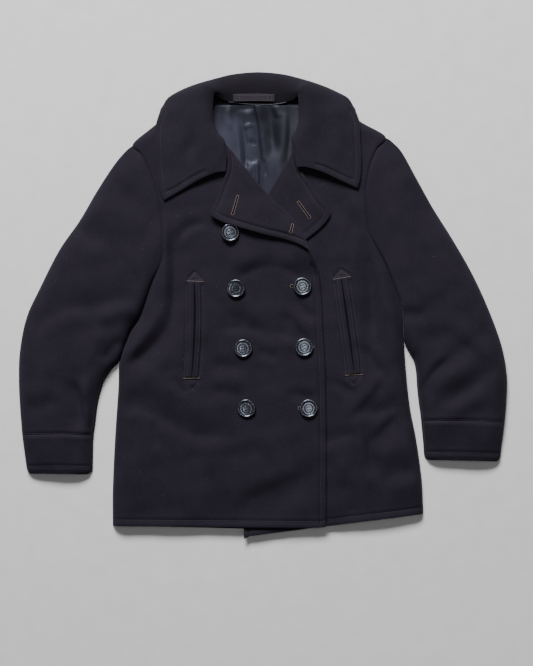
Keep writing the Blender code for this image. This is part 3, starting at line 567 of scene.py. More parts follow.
def line_distance(line, flat):
    """How far points are from a line of points, seen from above."""
    x, y = flat[..., 0], flat[..., 1]
    nearest = np.full(x.shape, np.inf)
    for (x0, y0), (x1, y1) in zip(line, line[1:]):
        along_x, along_y = x1 - x0, y1 - y0
        size = max(along_x**2 + along_y**2, TINY)
        share = np.clip(((x - x0) * along_x + (y - y0) * along_y) / size, 0.0, 1.0)
        nearest = np.minimum(nearest, np.hypot(x - x0 - share * along_x, y - y0 - share * along_y))
    return nearest


def inner_line(border, inset):
    """A line beside a border, to the left of its direction, without the loops at sharp corners."""
    border = even_line(border, BORDER_SPACING)
    ahead = unit(np.gradient(border, axis=0))
    beside = border + np.stack((-ahead[:, 1], ahead[:, 0]), axis=1) * inset
    clear = line_distance(border, beside) > abs(inset) * CLEAR_SHARE
    return even_line(beside[clear], BORDER_SPACING)


def fold_height(folds, flat):
    """Height of soft folds, each a bowed line, steeper on one side, that fades at its ends."""
    x, y = flat[..., 0], flat[..., 1]
    total = np.zeros(x.shape)
    for x0, y0, x1, y1, bow, height, width, steep in folds:
        along_x, along_y = x1 - x0, y1 - y0
        length = math.hypot(along_x, along_y)
        share = ((x - x0) * along_x + (y - y0) * along_y) / length**2
        inside = np.clip(share, 0.0, 1.0)
        aside = ((y - y0) * along_x - (x - x0) * along_y) / length - 4 * bow * inside * (1 - inside)
        fade = smooth_step(share, *FOLD_START) * smooth_step(share, *FOLD_END)
        reach = width * (1.0 - steep * np.tanh(2.0 * aside / width))
        beside = bell(np.abs(aside) - BESIDE_AT * reach, reach)
        total += height * fade * (bell(aside, reach) - BESIDE_SHARE * beside)
    return total


def wave_height(flat):
    """The slight waviness of cloth that has been worn."""
    x, y = flat[..., 0], flat[..., 1]
    total = np.zeros(x.shape)
    for way, length, height, phase in WAVES:
        run = x * math.cos(math.radians(way)) + y * math.sin(math.radians(way))
        bent = run + WAVE_SWAY * np.sin((x - y) / WAVE_SWAY_LENGTH + phase)
        total += height * np.sin(2.0 * math.pi * bent / length + phase)
    return total


def drape(flat):
    return fold_height(FOLDS, flat) + wave_height(flat)


# --- surfaces that lie on each other ---------------------------------------------------------

def back_level(y):
    """Middle surface of the back, which lies on the collar's fall near the neck."""
    return BACK_MID + BACK_CLIMB * smooth_step(y, *BACK_CLIMB_Y)


def resting_level(flat):
    """Middle surface of cloth that rests on the floor but for a few soft hollows."""
    return back_level(flat[..., 1]) + np.clip(fold_height(BACK_HOLLOWS, flat), 0.0, HOLLOW_TOP)


def foot_level(flat):
    """How low an upper layer's middle surface comes at its rounded edges, over the back."""
    return back_level(flat[..., 1]) + CLOTH / 2 + LAYER_GAP


def front_level(side, flat):
    """Middle surface of a front; the top one climbs over the under one's rolled lapel."""
    x, y = flat[..., 0], flat[..., 1]
    drop_at_hem = HEM_DROP * smooth_step(y, *HEM_DROP_Y)
    if side == "left":
        return LEFT_LEVEL + (RIGHT_LEVEL - LEFT_LEVEL) * smooth_step(x, *LEFT_ASIDE_X) - drop_at_hem
    over = smooth_step(x, *LAPEL_CLIMB_X) * smooth_step(y, *LAPEL_CLIMB_Y)
    return RIGHT_LEVEL + LAPEL_CLIMB * over - drop_at_hem


def cloth_level(side, flat, distance=SIDE_ROUND, lift=1.0):
    """Middle surface of a front at a distance in from its side edge."""
    foot = foot_level(flat)
    full = front_level(side, flat) + drape(flat)
    return foot + (full - foot) * (lift + (1.0 - lift) * rounding(distance, SIDE_ROUND))


def stand_level(flat):
    """Middle surface of the collar's stand, inside the back neck."""
    places = np.interp(np.abs(flat[:, 0] - COLLAR_CENTRE), COLLAR_ROWS[:4, 0], range(4))
    rows = rows_at(COLLAR_ROWS, places)
    return rows[:, 2] + (rows[:, 5] - rows[:, 2]) * (flat[:, 1] - rows[:, 1]) / (rows[:, 4] - rows[:, 1])


def on_front(side, flat, height):
    """Points at a height over a front's outer face and the directions square to it there."""
    step = 2.0
    here = cloth_level(side, flat)
    slope_x = (cloth_level(side, flat + (step, 0.0)) - here) / step
    slope_y = (cloth_level(side, flat + (0.0, step)) - here) / step
    normal = unit(np.stack((-slope_x, -slope_y, np.ones_like(here)), axis=-1))
    return raised(flat, here) + normal * np.asarray(CLOTH / 2 + height)[..., None], normal


# --- grids of points -------------------------------------------------------------------------

def crease_share(lift):
    """How much of a crease's gap an edge needs: none at the armhole's full height."""
    return np.minimum(4.0 * (1.0 - lift), 1.0)


def front_places(side, spacing):
    """Places along a front's table at an even spacing, with one at each end of the armhole."""
    table, _, underarm, shoulder = SIDES[side]
    ends = (0, underarm, shoulder, len(table) - 1)
    spans = [even_places(table, ((0, 1), (2, 3)), *span, spacing)[1:] for span in zip(ends, ends[1:])]
    return np.concatenate(([0.0], *spans))


def front_rows(side):
    """Rows across a front: its side, roll and edge, the way across, its turn, rise and lift."""
    table, _, underarm, shoulder = SIDES[side]
    places = front_places(side, SPACING)
    rows = rows_at(table, places)
    lift = np.clip(rows[:, 8], 0.0, 1.0)
    sewn = smooth_step(places, underarm - SEWN_REACH[0], underarm)
    sewn = sewn * smooth_step(places, shoulder + SEWN_REACH[1], shoulder)
    upright = (CLOTH / 2 + EDGE_CLEAR) * np.sqrt(1.0 - lift)
    inset = (upright + CREASE / 2 * crease_share(lift)) * (1.0 - sewn)
    start, roll, edge = rows[:, 0:2], rows[:, 2:4], rows[:, 4:6]
    ahead = unit(roll - start)
    turn, rise = np.clip(rows[:, 6], 0.0, 180.0), rows[:, 7]
    return start + ahead * inset[:, None], roll, edge, ahead, turn, rise, lift


def turned_part(side, roll, edge, ahead, turn, rise):
    """Points past the roll: round the bend and over the front, or straight on where it isn't turned."""
    bent = smooth_step(turn, *TURNED)[:, None]
    share = np.arange(1, ROLL_STEPS + 1) / ROLL_STEPS
    angle = np.radians(turn)[:, None] * share
    curved = roll[:, None] + ahead[:, None] * ROLL_RADIUS * np.sin(angle)[..., None]
    level = roll[:, None] + (edge - roll)[:, None] * share[:, None] * ROLL_SHARE
    round_flat = level + (curved - level) * bent[..., None]
    round_over = ROLL_RADIUS * (1.0 - np.cos(angle)) * bent
    share = np.arange(1, LAPEL_STEPS + 1) / LAPEL_STEPS
    last, over = round_flat[:, -1:], round_over[:, -1:]
    lapel_flat = last + (edge[:, None] - last) * share[:, None]
    reach = np.linalg.norm(edge[:, None] - last, axis=2) * share
    soft = ROLL_SOFT * bent * bell(reach - SOFT_REACH, SOFT_REACH)
    lapel_over = over + (rise[:, None] - over) * share + soft * smooth_step(share, *SOFT_START)
    flat = np.concatenate((round_flat, lapel_flat), axis=1)
    return raised(flat, cloth_level(side, flat) + np.concatenate((round_over, lapel_over), axis=1))


def front_grid(side):
    """Points across and along a front, from its side to its free edge, and each row's turn."""
    start, roll, edge, ahead, turn, rise, lift = front_rows(side)
    length = np.linalg.norm(roll - start, axis=1)[:, None]
    bend = np.linspace(0.0, math.pi / 2, SIDE_STEPS, endpoint=False)
    near = np.tile(SIDE_ROUND * (1.0 - np.cos(bend)), (len(start), 1))
    far = SIDE_ROUND + (length - SIDE_ROUND) * np.linspace(0.0, 1.0, PANEL_STEPS + 1)
    distances = np.concatenate((near, far), axis=1)
    flat = start[:, None] + ahead[:, None] * distances[..., None]
    height = cloth_level(side, flat, distances, lift[:, None])
    height -= SEAM_SINK * lift[:, None] * bell(distances, SEAM_WIDTH)
    turned = turned_part(side, roll, edge, ahead, turn, rise)
    return np.concatenate((raised(flat, height), turned), axis=1), turn


def back_grid(side):
    """Points of half the back, from its side to the seam down its middle."""
    table, _, underarm, shoulder = SIDES[side]
    places = front_places(side, 2 * SPACING)
    start = rows_at(table, places)[:, 0:2]
    knots = (0, underarm, shoulder, len(table) - 1)
    centre = np.stack([np.interp(places, knots, values) for values in zip(*BACK_CENTRE)], axis=1)
    centre = centre - unit(centre - start) * SEAM / 2
    flat = start[:, None] + (centre - start)[:, None] * cosine_steps(BACK_STEPS)[:, None]
    return raised(flat, resting_level(flat))


def sleeve_grid(side, upper):
    """Points along and across a sleeve; the upper half arches, the under half lies flat."""
    front, table, underarm, shoulder = SIDES[side]
    shares = cosine_steps(ARM_STEPS)
    arm_rows = rows_at(front, shoulder + (underarm - shoulder) * shares)
    arm_line, arm_lift = arm_rows[:, 0:2], np.clip(arm_rows[:, 8], 0.0, 1.0)
    last = len(table) - 1
    places = even_places(table, ((0, 1), (2, 3)), 0, last, SPACING)
    rows = rows_at(table, places)
    head = np.clip(rows[:, 4], 0.0, 1.0)[:, None]
    outer, inner = rows[:, 0:2], rows[:, 2:4]
    width = np.linalg.norm(inner - outer, axis=1)[:, None]
    outer_inset = CLOTH / 2 + EDGE_CLEAR if upper else 0.0
    crease = SEAM + outer_inset * np.sqrt(1.0 - head) + CREASE * crease_share(head)
    inner_inset = crease if upper else SEAM / 2
    chord = arm_line[0] + (arm_line[-1] - arm_line[0]) * shares[:, None]
    bow = head[..., None] * (arm_line - chord)
    off = outer_inset * (1.0 - HEAD_SHARE * head) * (1.0 - shares) - inner_inset * shares
    flat = outer[:, None] + ((inner - outer) / width)[:, None] * (width * shares + off)[..., None] + bow
    if not upper:
        return raised(flat, resting_level(flat))
    cuff = smooth_step(places, last - CUFF_REACH, last)[:, None]
    crown = SLEEVE_LEVEL + (CUFF_LEVEL - SLEEVE_LEVEL) * cuff
    foot = foot_level(flat)
    round_off = rounding(shares * width, SLEEVE_ROUND) * rounding((1.0 - shares) * width, SLEEVE_ROUND)
    top = crown * (CROWN_SIDES + (1.0 - CROWN_SIDES) * np.sin(math.pi * shares))
    arched = foot + (top - foot) * round_off
    seam = cloth_level(side, arm_line, 0.0, arm_lift)
    ease = smooth_step(head, *HEAD_EASE)
    relief = drape(flat) * round_off * (1.0 - ease)
    sink = SEAM_SINK * arm_lift * bell(run_along((outer + inner) / 2), SEAM_WIDTH)[:, None]
    return raised(flat, arched + (seam - arched) * ease + relief - sink)


def collar_half(side, places, across):
    """Points of half the collar, from the middle of the back to the tip."""
    knots = rows_at(COLLAR_ROWS, places).reshape(len(places), 6, 3).transpose(1, 0, 2).reshape(6, -1)
    points = rows_at(knots, across).reshape(len(across), len(places), 3).transpose(1, 0, 2)
    if side == "right":
        return points * (-1.0, 1.0, 1.0) + (COLLAR_CENTRE, 0.0, 0.0)
    weight = smooth_step(places, *LEAF_ROWS)[:, None]
    angle = LEFT_LEAF_SWING * weight
    scale = 1.0 + (LEFT_LEAF_SCALE - 1.0) * weight
    dx, dy = points[..., 0] - LEFT_LEAF_PIVOT[0], points[..., 1] - LEFT_LEAF_PIVOT[1]
    x = COLLAR_CENTRE + LEFT_LEAF_PIVOT[0] + (dx * np.cos(angle) - dy * np.sin(angle)) * scale
    y = LEFT_LEAF_PIVOT[1] + (dx * np.sin(angle) + dy * np.cos(angle)) * scale
    start, end = LEAF_IN_ROWS
    near = smooth_step(places, *start) * smooth_step(places, *end)
    x = x - LEAF_IN * near[:, None] * smooth_step(across, *LEAF_IN_ACROSS)
    return np.stack((x, y, points[..., 2]), axis=2)


def collar_grid():
    """Points of the collar from tip to tip, from its neck seam over its roll to its outer edge."""
    places = even_places(COLLAR_ROWS, FALL_AND_EDGE, 0, len(COLLAR_ROWS) - 1, SPACING)
    across = even_places(HALF_COLLAR[6], ((0, 1, 2),), 0, 5, SPACING)
    right, left = (collar_half(side, places, across) for side in ("right", "left"))
    grid = np.concatenate((right[::-1], left[1:]))
    creased = fold_height(COLLAR_FOLDS, grid) + COLLAR_WAVE * wave_height(grid)
    grid[..., 2] += creased * smooth_step(across, *COLLAR_FALL) * smooth_step(grid[..., 2], *COLLAR_HEIGHT)
    return grid


def lining_grid():
    """Points of the lining, puffed and creased between its two ends, which are sewn down."""
    rows = rows_at(LINING, even_places(LINING, ((0, 1), (2, 3)), 0, len(LINING) - 1, LINING_SPACING))
    share = np.linspace(0.0, 1.0, LINING_STEPS + 1)
    flat = rows[:, None, 0:2] + (rows[:, None, 2:4] - rows[:, None, 0:2]) * share[:, None]
    seat = back_level(flat[..., 1]) + CLOTH / 2 + SATIN / 2 + 2 * SEAM
    start, end = LINING_FREE
    free = smooth_step(share, *start) * smooth_step(share, *end)
    creased = (LINING_PUFF + fold_height(LINING_CREASES, flat)) * free
    return raised(flat, seat + np.maximum(creased, LINING_LOW))


def loop_grid():
    """A bar of cloth sewn down at both ends, a little bowed between them."""
    share = np.linspace(0.0, 1.0, LOOP_STEPS + 1)
    x = LOOP_START + (LOOP_END - LOOP_START) * share
    rows = []
    for foot in np.linspace(LOOP_FOOT, LOOP_TOP, LOOP_ROWS):
        flat = np.stack((x, foot + LOOP_BEND * np.sin(3.0 * share)), axis=1)
        seat = stand_level(flat) + CLOTH / 2 + LOOP_THICK / 2 + LAYER_GAP
        rows.append(raised(flat, seat + LOOP_BOW * np.sin(math.pi * share)))
    return np.array(rows)


def slit_line(side, place, out):
    """Points beside a pocket's slit: at a share of its length and a distance out to one side."""
    x0, y0, x1, y1, bow = POCKETS[side]
    length = math.hypot(x1 - x0, y1 - y0)
    x = x0 + (x1 - x0) * place + (y0 - y1) / length * out + 4.0 * bow * place * (1.0 - place)
    y = y0 + (y1 - y0) * place + (x1 - x0) / length * out
    return np.stack((x, y), axis=-1)


def slit_half(place):
    """Half the width of a slit, which is widest above its middle and closes at both ends."""
    return SLIT_LEAST + SLIT_MOST * np.sin(math.pi * place) ** 0.5 * (1.0 - SLIT_NARROWS * place)


def lip_grid(side, sign):
    """One of a pocket's two lips, soft at the slit and pressed flat at its outer stitching."""
    place = np.linspace(0.0, 1.0, LIP_STEPS + 1)[:, None]
    out = np.linspace(0.0, 1.0, LIP_ROWS)
    flat = slit_line(side, place, sign * (slit_half(place) + LIP_WIDTH * out))
    soft = LIP_SOFT * bell(out - LIP_SOFT_AT, LIP_SOFT_AT) * np.sin(math.pi * place) ** 0.4
    return on_front(side, flat, LIP_THICK / 2 + LIP_GAP + soft)[0]


# --- mesh tools ------------------------------------------------------------------------------

def placed(name, data):
    """A new object of the scene."""
    made = bpy.data.objects.new(name, data)
    bpy.context.scene.collection.objects.link(made)
    return made


def mesh_of(name, made):
    mesh = bpy.data.meshes.new(name)
    made.to_mesh(mesh)
    made.free()
    return mesh


def modify(piece, name, kind, **settings):
    made = piece.modifiers.new(name, kind)
    for key, value in settings.items():
        setattr(made, key, value)


def add_piece(name, mesh, finish):
    mesh.name = name
    mesh.materials.append(finish)
    piece = placed(name, mesh)
    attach(piece, "root")
    return piece


def sheet_mesh(grid):
    """A sheet's middle surface, its vertices at the points of a grid."""
    along, across = grid.shape[:2]
    made = bmesh.new()
    bmesh.ops.create_grid(made, x_segments=across - 1, y_segments=along - 1, size=1.0)
    mesh = mesh_of("cloth", made)
    mesh.vertices.foreach_set("co", ((grid + SHIFT) * MM).astype(np.float32).ravel())
    mesh.update()
    mesh.shade_smooth()
    return mesh


def pressed(grid, columns, lines, depth):
    """The same grid with some of its columns sunk along lines of stitching, puffed up beside them."""
    puff = PRESS_PUFF if depth > 0 else 0.0
    grid = grid.copy()
    part = grid[:, columns]
    for line in lines:
        away = line_distance(even_line(line, PRESS_SPACING), part)
        beside = bell(away - 2 * PRESS_WIDTH, PRESS_WIDTH)
        part[..., 2] -= depth * (bell(away, PRESS_WIDTH) - puff * beside)
    return grid


def cross_line(grid, distance):
    """The line at a distance in from a grid's first row, measured along the cloth."""
    run = run_along(grid)
    columns = range(grid.shape[1])
    return np.array([[np.interp(distance, run[:, i], grid[:, i, k]) for k in (0, 1)] for i in columns])


def surface_of(piece):
    return BVHTree.FromObject(piece, bpy.context.evaluated_depsgraph_get())


def drop(surface, flat, below=False):
    """Where points seen from above (or below) meet a piece, and the directions square to it."""
    places, normals = [], []
    start, way = (-RAY_START, 1.0) if below else (RAY_START, -1.0)
    for x, y in (flat + SHIFT[:2]) * MM:
        place, normal = surface.ray_cast(Vector((x, y, start)), Vector((0.0, 0.0, way)))[:2]
        if place is None:
            continue
        places.append(np.array(place) / MM - SHIFT)
        normals.append(np.array(normal))
    return np.array(places), np.array(normals)


# --- thread ----------------------------------------------------------------------------------

def thread_tube(made, centre, up, radius, sides=THREAD_SIDES):
    """Adds a tube of thread to a mesh: its centre line, the way that is up and its radius."""
    ahead = unit(np.gradient(centre, axis=0))
    aside = unit(np.cross(ahead, up))
    rise = np.cross(aside, ahead)
    turn = np.linspace(0.0, 2.0 * math.pi, sides + 1)
    ring = aside[:, None] * np.cos(turn)[:, None] + rise[:, None] * np.sin(turn)[:, None]
    radius = np.broadcast_to(radius, (len(centre),))[:, None, None]
    points = (centre[:, None] + ring * radius + SHIFT) * MM
    grid = bmesh.ops.create_grid(made, x_segments=sides, y_segments=len(centre) - 1, size=1.0)
    for vertex, point in zip(grid["verts"], points.reshape(-1, 3)):
        vertex.co = point


def finished_thread(name, made, finish):
    bmesh.ops.remove_doubles(made, verts=made.verts, dist=THREAD_MERGE)
    bmesh.ops.recalc_face_normals(made, faces=made.faces)
    mesh = mesh_of(name, made)
    mesh.shade_smooth()
    return add_piece(name, mesh, finish)


def stitching(name, surface, lines, finish, below=False, pitch=PITCH):
    """Rows of stitches along lines on a piece: one thread that dips into the cloth at each hole."""
    made = bmesh.new()
    for line in lines:
        places, normals = drop(surface, even_line(line, pitch / PITCH_POINTS), below)
        wave = np.abs(np.sin(math.pi * np.arange(len(places)) / PITCH_POINTS))
        centre = places + normals * (THREAD * (STITCH_RISE * wave - STITCH_SINK))[:, None]
        thread_tube(made, centre, normals, THREAD)
    return finished_thread(name, made, finish)


def whipped(name, surface, lines, finish, radius, spacing, rise):
    """Close loops of thread along lines, as in a buttonhole's edging or a bar across a pocket's end."""
    made = bmesh.new()
    for line in lines:
        places, normals = drop(surface, even_line(line, spacing))
        loops = 1.0 + WHIP * np.sin(np.arange(len(places)) * math.pi / 2)
        thread_tube(made, places + normals * rise, normals, radius * loops, WHIP_SIDES)
    return finished_thread(name, made, finish)


def ribbon(name, surface, line, half, finish):
    """A narrow flat strip that lies on a piece along a line."""
    places, normals = drop(surface, line)
    made = bmesh.new()
    thread_tube(made, places + normals * SLIT_RISE, normals, half, 4)
    return finished_thread(name, made, finish)


def buttonhole(name, surface, start, end, finish, dark):
    """A slit edged with close loops of thread, round at its end nearest the cloth's edge, with a dark strip
    of painted shadow laid in the slit.
    """
    start, end = np.array(start, float), np.array(end, float)
    length = np.linalg.norm(end - start)
    ahead = (end - start) / length
    aside = np.array((-ahead[1], ahead[0]))
    meet = math.pi - math.asin(HOLE_HALF / EYE_RADIUS)
    turn = np.linspace(meet, -meet, EYE_POINTS)
    along = np.concatenate(([0.0], length + EYE_RADIUS * (np.cos(turn) - 1.0), [0.0, 0.0]))
    out = np.concatenate(([HOLE_HALF], EYE_RADIUS * np.sin(turn), [-HOLE_HALF, HOLE_HALF]))
    outline = start + ahead * along[:, None] + aside * out[:, None]
    edging = whipped(name, surface, [outline], finish, *HOLE_WHIPS)
    slit = even_line([start + ahead * place for place in (SLIT_IN[0], length - SLIT_IN[1])], SLIT_SPACING)
    eye = smooth_step(np.linspace(0.0, 1.0, len(slit)), *SLIT_EYE)
    return [edging, ribbon(f"{name}_slit", surface, slit, HOLE_SLIT + EYE_SLIT * eye, dark)]


# --- finishes --------------------------------------------------------------------------------

WOOL_COLOUR = (0.0096, 0.0070, 0.0138)
COLLAR_COLOUR = (0.0098, 0.0073, 0.0138)
LINT_COLOUR = (0.11, 0.105, 0.12, 1.0)
SATIN_COLOUR = (0.0155, 0.0160, 0.0255)
PIPING_COLOUR = (0.034, 0.038, 0.048)
LOOP_COLOUR = (0.026, 0.021, 0.029)
LOOP_THREAD_COLOUR = (0.075, 0.066, 0.078)
THREAD_COLOUR = (0.031, 0.025, 0.037)
BUTTONHOLE_COLOUR = (0.150, 0.108, 0.100)
# Painted shadow: the near-black strips laid in pocket slits and buttonholes.
SLIT_SHADOW_COLOUR = (0.0035, 0.003, 0.0045, 1.0)
BUTTON_COLOUR = (0.010, 0.010, 0.012)
FLOOR_COLOUR = (1.0, 1.0, 1.0)
# A patch: its middle, x and y, and half its width and length, in metres.
# Painted shade: the collar's stand is darkened where it lies in shadow inside the neck.
NECK_SHADE_PATCH, NECK_SHADE = (-0.009, 0.380, 0.084, 0.028), 0.36    # the collar is darker inside the neck
# A row for each patch of painted light on the lining, with how much: above 0, painted sheen where it is
# paler; below 0, painted shade where it is darker, under the collar's stand and towards the right.
LINING_SHEEN_AND_SHADE = (
    (-0.058, 0.300, 0.032, 0.050, 1.0),
    (0.016, 0.232, 0.024, 0.050, 0.6),
    (-0.020, 0.262, 0.012, 0.080, 0.5),
    (-0.010, 0.366, 0.120, 0.024, -0.7),
    (0.046, 0.310, 0.026, 0.060, -0.5),
)


def maths(operation, turned=False):
    """An operator of Value that adds a Math node; turned, the value is its second number."""
    def method(value, other):
        pair = (other, value) if turned else (value, other)
        made = value.finish.node("ShaderNodeMath", {"operation": operation}, dict(enumerate(pair)))
        return Value(value.finish, made.outputs[0])
    return method


class Value:
    """A shader value that is added, multiplied and so on through Math nodes."""

    def __init__(self, finish, socket):
        self.finish, self.socket = finish, socket

    __add__, __radd__ = maths("ADD"), maths("ADD", True)
    __sub__, __rsub__ = maths("SUBTRACT"), maths("SUBTRACT", True)
    __mul__, __rmul__ = maths("MULTIPLY"), maths("MULTIPLY", True)
    __truediv__, __rtruediv__ = maths("DIVIDE"), maths("DIVIDE", True)
    over = maths("GREATER_THAN")        # 1 where the value is over another and 0 where it isn't


class Finish:
    """One procedural finish on the Principled shader."""

    def __init__(self, name, uniform):
        self.material = bpy.data.materials.new(name)
        self.material.use_nodes = True
        self.tree = self.material.node_tree
        self.shader = self.tree.nodes["Principled BSDF"]
        for socket, value in uniform.items():
            self.set(socket, value)
        self.place = self.node("ShaderNodeTexCoord").outputs["Object"]

    def put(self, socket, value):
        if isinstance(value, Value):
            value = value.socket
        if isinstance(value, bpy.types.NodeSocket):
            self.tree.links.new(value, socket)
        else:
            socket.default_value = value

    def set(self, socket, value):
        self.put(self.shader.inputs[socket], value)

    def node(self, kind, settings=None, sockets=None):
        made = self.tree.nodes.new(kind)
        for key, value in (settings or {}).items():
            setattr(made, key, value)
        for key, value in (sockets or {}).items():
            self.put(made.inputs[key], value)
        return made

    def stretched(self, stretch):
        return self.node("ShaderNodeMapping", None, {"Vector": self.place, "Scale": stretch}).outputs[0]

    def noise(self, scale, detail=2.0, stretch=(1.0, 1.0, 1.0), warp=0.0):
        """Cloudy noise with features about 1 / scale metres wide."""
        sockets = {"Vector": self.stretched(stretch), "Scale": scale, "Detail": detail, "Distortion": warp}
        return Value(self, self.node("ShaderNodeTexNoise", None, sockets).outputs["Fac"])

    def cells(self, scale, stretch=(1.0, 1.0, 1.0)):
        """Distance from the middle of small scattered cells."""
        sockets = {"Vector": self.stretched(stretch), "Scale": scale}
        return Value(self, self.node("ShaderNodeTexVoronoi", None, sockets).outputs["Distance"])

    def patch(self, x, y, wide, long):
        """1 at a place on the coat, in metres, easing to 0 at a distance from it."""
        parts = self.node("ShaderNodeSeparateXYZ", None, {0: self.place}).outputs
        across = (Value(self, parts["X"]) - x) / wide
        along = (Value(self, parts["Y"]) - y) / long
        away = across * across + along * along
        return 1.0 / (1.0 + away * away)

    def ramp(self, value, colour, stops):
        """A colour, shaded by a share at each stop of a value and eased between the stops."""
        made = self.node("ShaderNodeValToRGB", None, {0: value})
        points = made.color_ramp.elements
        while len(points) < len(stops):
            points.new(0.5)
        for point, (place, share) in zip(points, stops):
            point.position = place
            point.color = (*(part * share for part in colour), 1.0)
        return made.outputs[0]

    def mixed(self, share, first, second):
        made = self.node("ShaderNodeMix", {"data_type": "RGBA"}, {0: share, 6: first, 7: second})
        return made.outputs[2]

    def bump(self, height, strength, depth):
        sockets = {"Strength": strength, "Distance": depth, "Height": height}
        self.set("Normal", self.node("ShaderNodeBump", None, sockets).outputs[0])


def wool_finish(name, colour, painted_shade_patch=None):
    """Thick felted wool: soft blotches of nap, short fibres lying every way and a few pale specks; given a
    patch, painted shade darkens it there.
    """
    finish = Finish(name, {
        "Roughness": 0.88, "Specular IOR Level": 0.22,
        "Sheen Weight": 0.05, "Sheen Roughness": 0.5, "Sheen Tint": (0.75, 0.62, 0.95, 1.0)})
    blotches = finish.noise(26.0, 3.0)
    nap = finish.noise(420.0, 3.0, warp=0.6)
    fibres = finish.noise(1500.0, 2.0, (1.0, 0.25, 1.0))
    shade = blotches * 0.3 + nap * 0.45 + fibres * 0.25
    # Painted shade: the cloth is darker over the given patch.
    if painted_shade_patch:
        shade = shade - finish.patch(*painted_shade_patch) * NECK_SHADE
    cloth_colour = finish.ramp(shade, colour, ((0.20, 0.42), (0.50, 1.0), (0.70, 1.5)))
    specks = (0.10 - finish.cells(260.0, (1.0, 0.6, 1.0))).over(0.0)
    lint = finish.noise(90.0, 1.0).over(0.62) * specks
    finish.set("Base Color", finish.mixed(lint * 0.5, cloth_colour, LINT_COLOUR))
    finish.bump(nap * 0.6 + fibres * 0.4, 0.55, 0.0007)
    return finish.material


def satin_finish():
    """Lining satin, its shine broken by fine lengthwise floats and the marks of wear, with patches of painted
    sheen and painted shade.
    """
    finish = Finish("lining_satin", {
        "Sheen Weight": 0.03, "Anisotropic": 0.5, "Specular IOR Level": 0.4,
        "Specular Tint": (0.78, 0.80, 1.0, 1.0)})
    floats = finish.noise(1300.0, 2.0, (1.0, 0.06, 1.0))
    wear = finish.noise(38.0, 3.0)
    # Painted sheen and painted shade: patches that make the lining paler or darker.
    worn = sum((finish.patch(*place) * share for *place, share in LINING_SHEEN_AND_SHADE), 0.0)
    shade = floats * 0.2 + wear * 0.3 + worn * 0.5
    finish.set("Base Color", finish.ramp(shade, SATIN_COLOUR, ((0.22, 0.32), (0.50, 1.0), (0.82, 1.9))))
    finish.set("Roughness", 0.38 + wear * 0.14)
    finish.bump(floats, 0.3, 0.0002)
    return finish.material


def plastic_finish():
    """Black moulded plastic, polished, a little rubbed where hands touch it."""
    finish = Finish("button_plastic_black", {
        "Coat Roughness": 0.08, "Specular IOR Level": 1.0, "Specular Tint": (0.70, 0.80, 1.0, 1.0)})
    rubbed = finish.noise(160.0, 3.0)
    marks = finish.noise(900.0, 2.0, (1.0, 0.2, 1.0))
    finish.set("Base Color", finish.ramp(rubbed, BUTTON_COLOUR, ((0.3, 0.8), (0.7, 1.6))))
    finish.set("Roughness", 0.17 + rubbed * 0.10 + marks * 0.05)
    finish.set("Coat Weight", 0.12 + rubbed * 0.12)
    return finish.material


def thread_finish(name, colour, roughness=0.6):
    """Twisted sewing thread with a slight shine."""
    finish = Finish(name, {"Roughness": roughness, "Specular IOR Level": 0.3})
    twist = finish.noise(2600.0, 1.0, (1.0, 0.4, 1.0))
    finish.set("Base Color", finish.ramp(twist, colour, ((0.3, 0.7), (0.7, 1.35))))
    finish.bump(twist, 0.4, 0.0001)
    return finish.material


def slit_shadow_finish():
    """Painted shadow: a near-black matt strip laid in a slit, where the gap is in shade."""
    uniform = {"Base Color": SLIT_SHADOW_COLOUR, "Roughness": 0.95, "Specular IOR Level": 0.1}
    return Finish("slit_shade", uniform).material


def floor_finish():
    """Pale matt paper, slightly uneven."""
    finish = Finish("floor_paper", {"Roughness": 0.85})
    grain = finish.noise(30.0, 2.0)
    finish.set("Base Color", finish.ramp(grain, FLOOR_COLOUR, ((0.3, 0.70), (0.7, 0.74))))
    return finish.material


# --- the coat --------------------------------------------------------------------------------

# A row for each piece of cloth: the width and length it was cut at, in metres, its flat area's
# share of them, and what it lies on.
CUTS = {
    "back_right": (0.28, 0.79, 0.80, ["floor"]),
    "back_left": (0.28, 0.78, 0.82, ["floor"]),
    "right_front": (0.39, 0.86, 0.72, ["back_right", "left_front"]),
    "left_front": (0.335, 0.85, 0.74, ["back_left"]),
    "right_sleeve_top": (0.225, 0.65, 0.64, ["right_sleeve_under"]),
    "right_sleeve_under": (0.215, 0.65, 0.63, ["floor"]),
    "left_sleeve_top": (0.22, 0.64, 0.61, ["left_sleeve_under"]),
    "left_sleeve_under": (0.205, 0.64, 0.61, ["floor"]),
    "collar": (0.16, 0.69, 0.68, ["right_front", "left_front", "back_right"]),
    "lining": (0.187, 0.22, 0.76, ["back_right", "back_left"]),
    "hanger_loop": (0.014, 0.075, 1.0, ["collar"]),
    "right_pocket_side_lip": (0.0105, 0.165, 1.0, ["right_front"]),
    "right_pocket_front_lip": (0.0105, 0.165, 1.0, ["right_front"]),
    "left_pocket_front_lip": (0.0105, 0.167, 1.0, ["left_front"]),
    "left_pocket_side_lip": (0.0105, 0.167, 1.0, ["left_front"]),
}
EVERY = slice(None)


class Cloth:
    """A wall of cloth, its middle surface through a grid, in the place of a CAD node."""

    def __init__(self, node, grid, finish, slot="wool", wall=CLOTH, edge=EDGE_SOFT):
        self.node = node
        self.piece = add_piece(f"{node}_cloth", sheet_mesh(grid), finish)
        modify(self.piece, "wall", "SOLIDIFY", thickness=wall * MM, offset=0.0, use_even_offset=False)
        modify(self.piece, "soft_edge", "BEVEL", affect="EDGES", width=edge * MM, segments=2, profile=0.5,
               material=-1, limit_method="ANGLE", angle_limit=CLOTH_SHARP)
        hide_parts(node)
        self.surface = surface_of(self.piece)
        self.sewn = []

    def stitch(self, lines, thread, below=False, pitch=PITCH):
        self.sewn.append(stitching(f"{self.node}_stitching", self.surface, lines, thread, below, pitch))


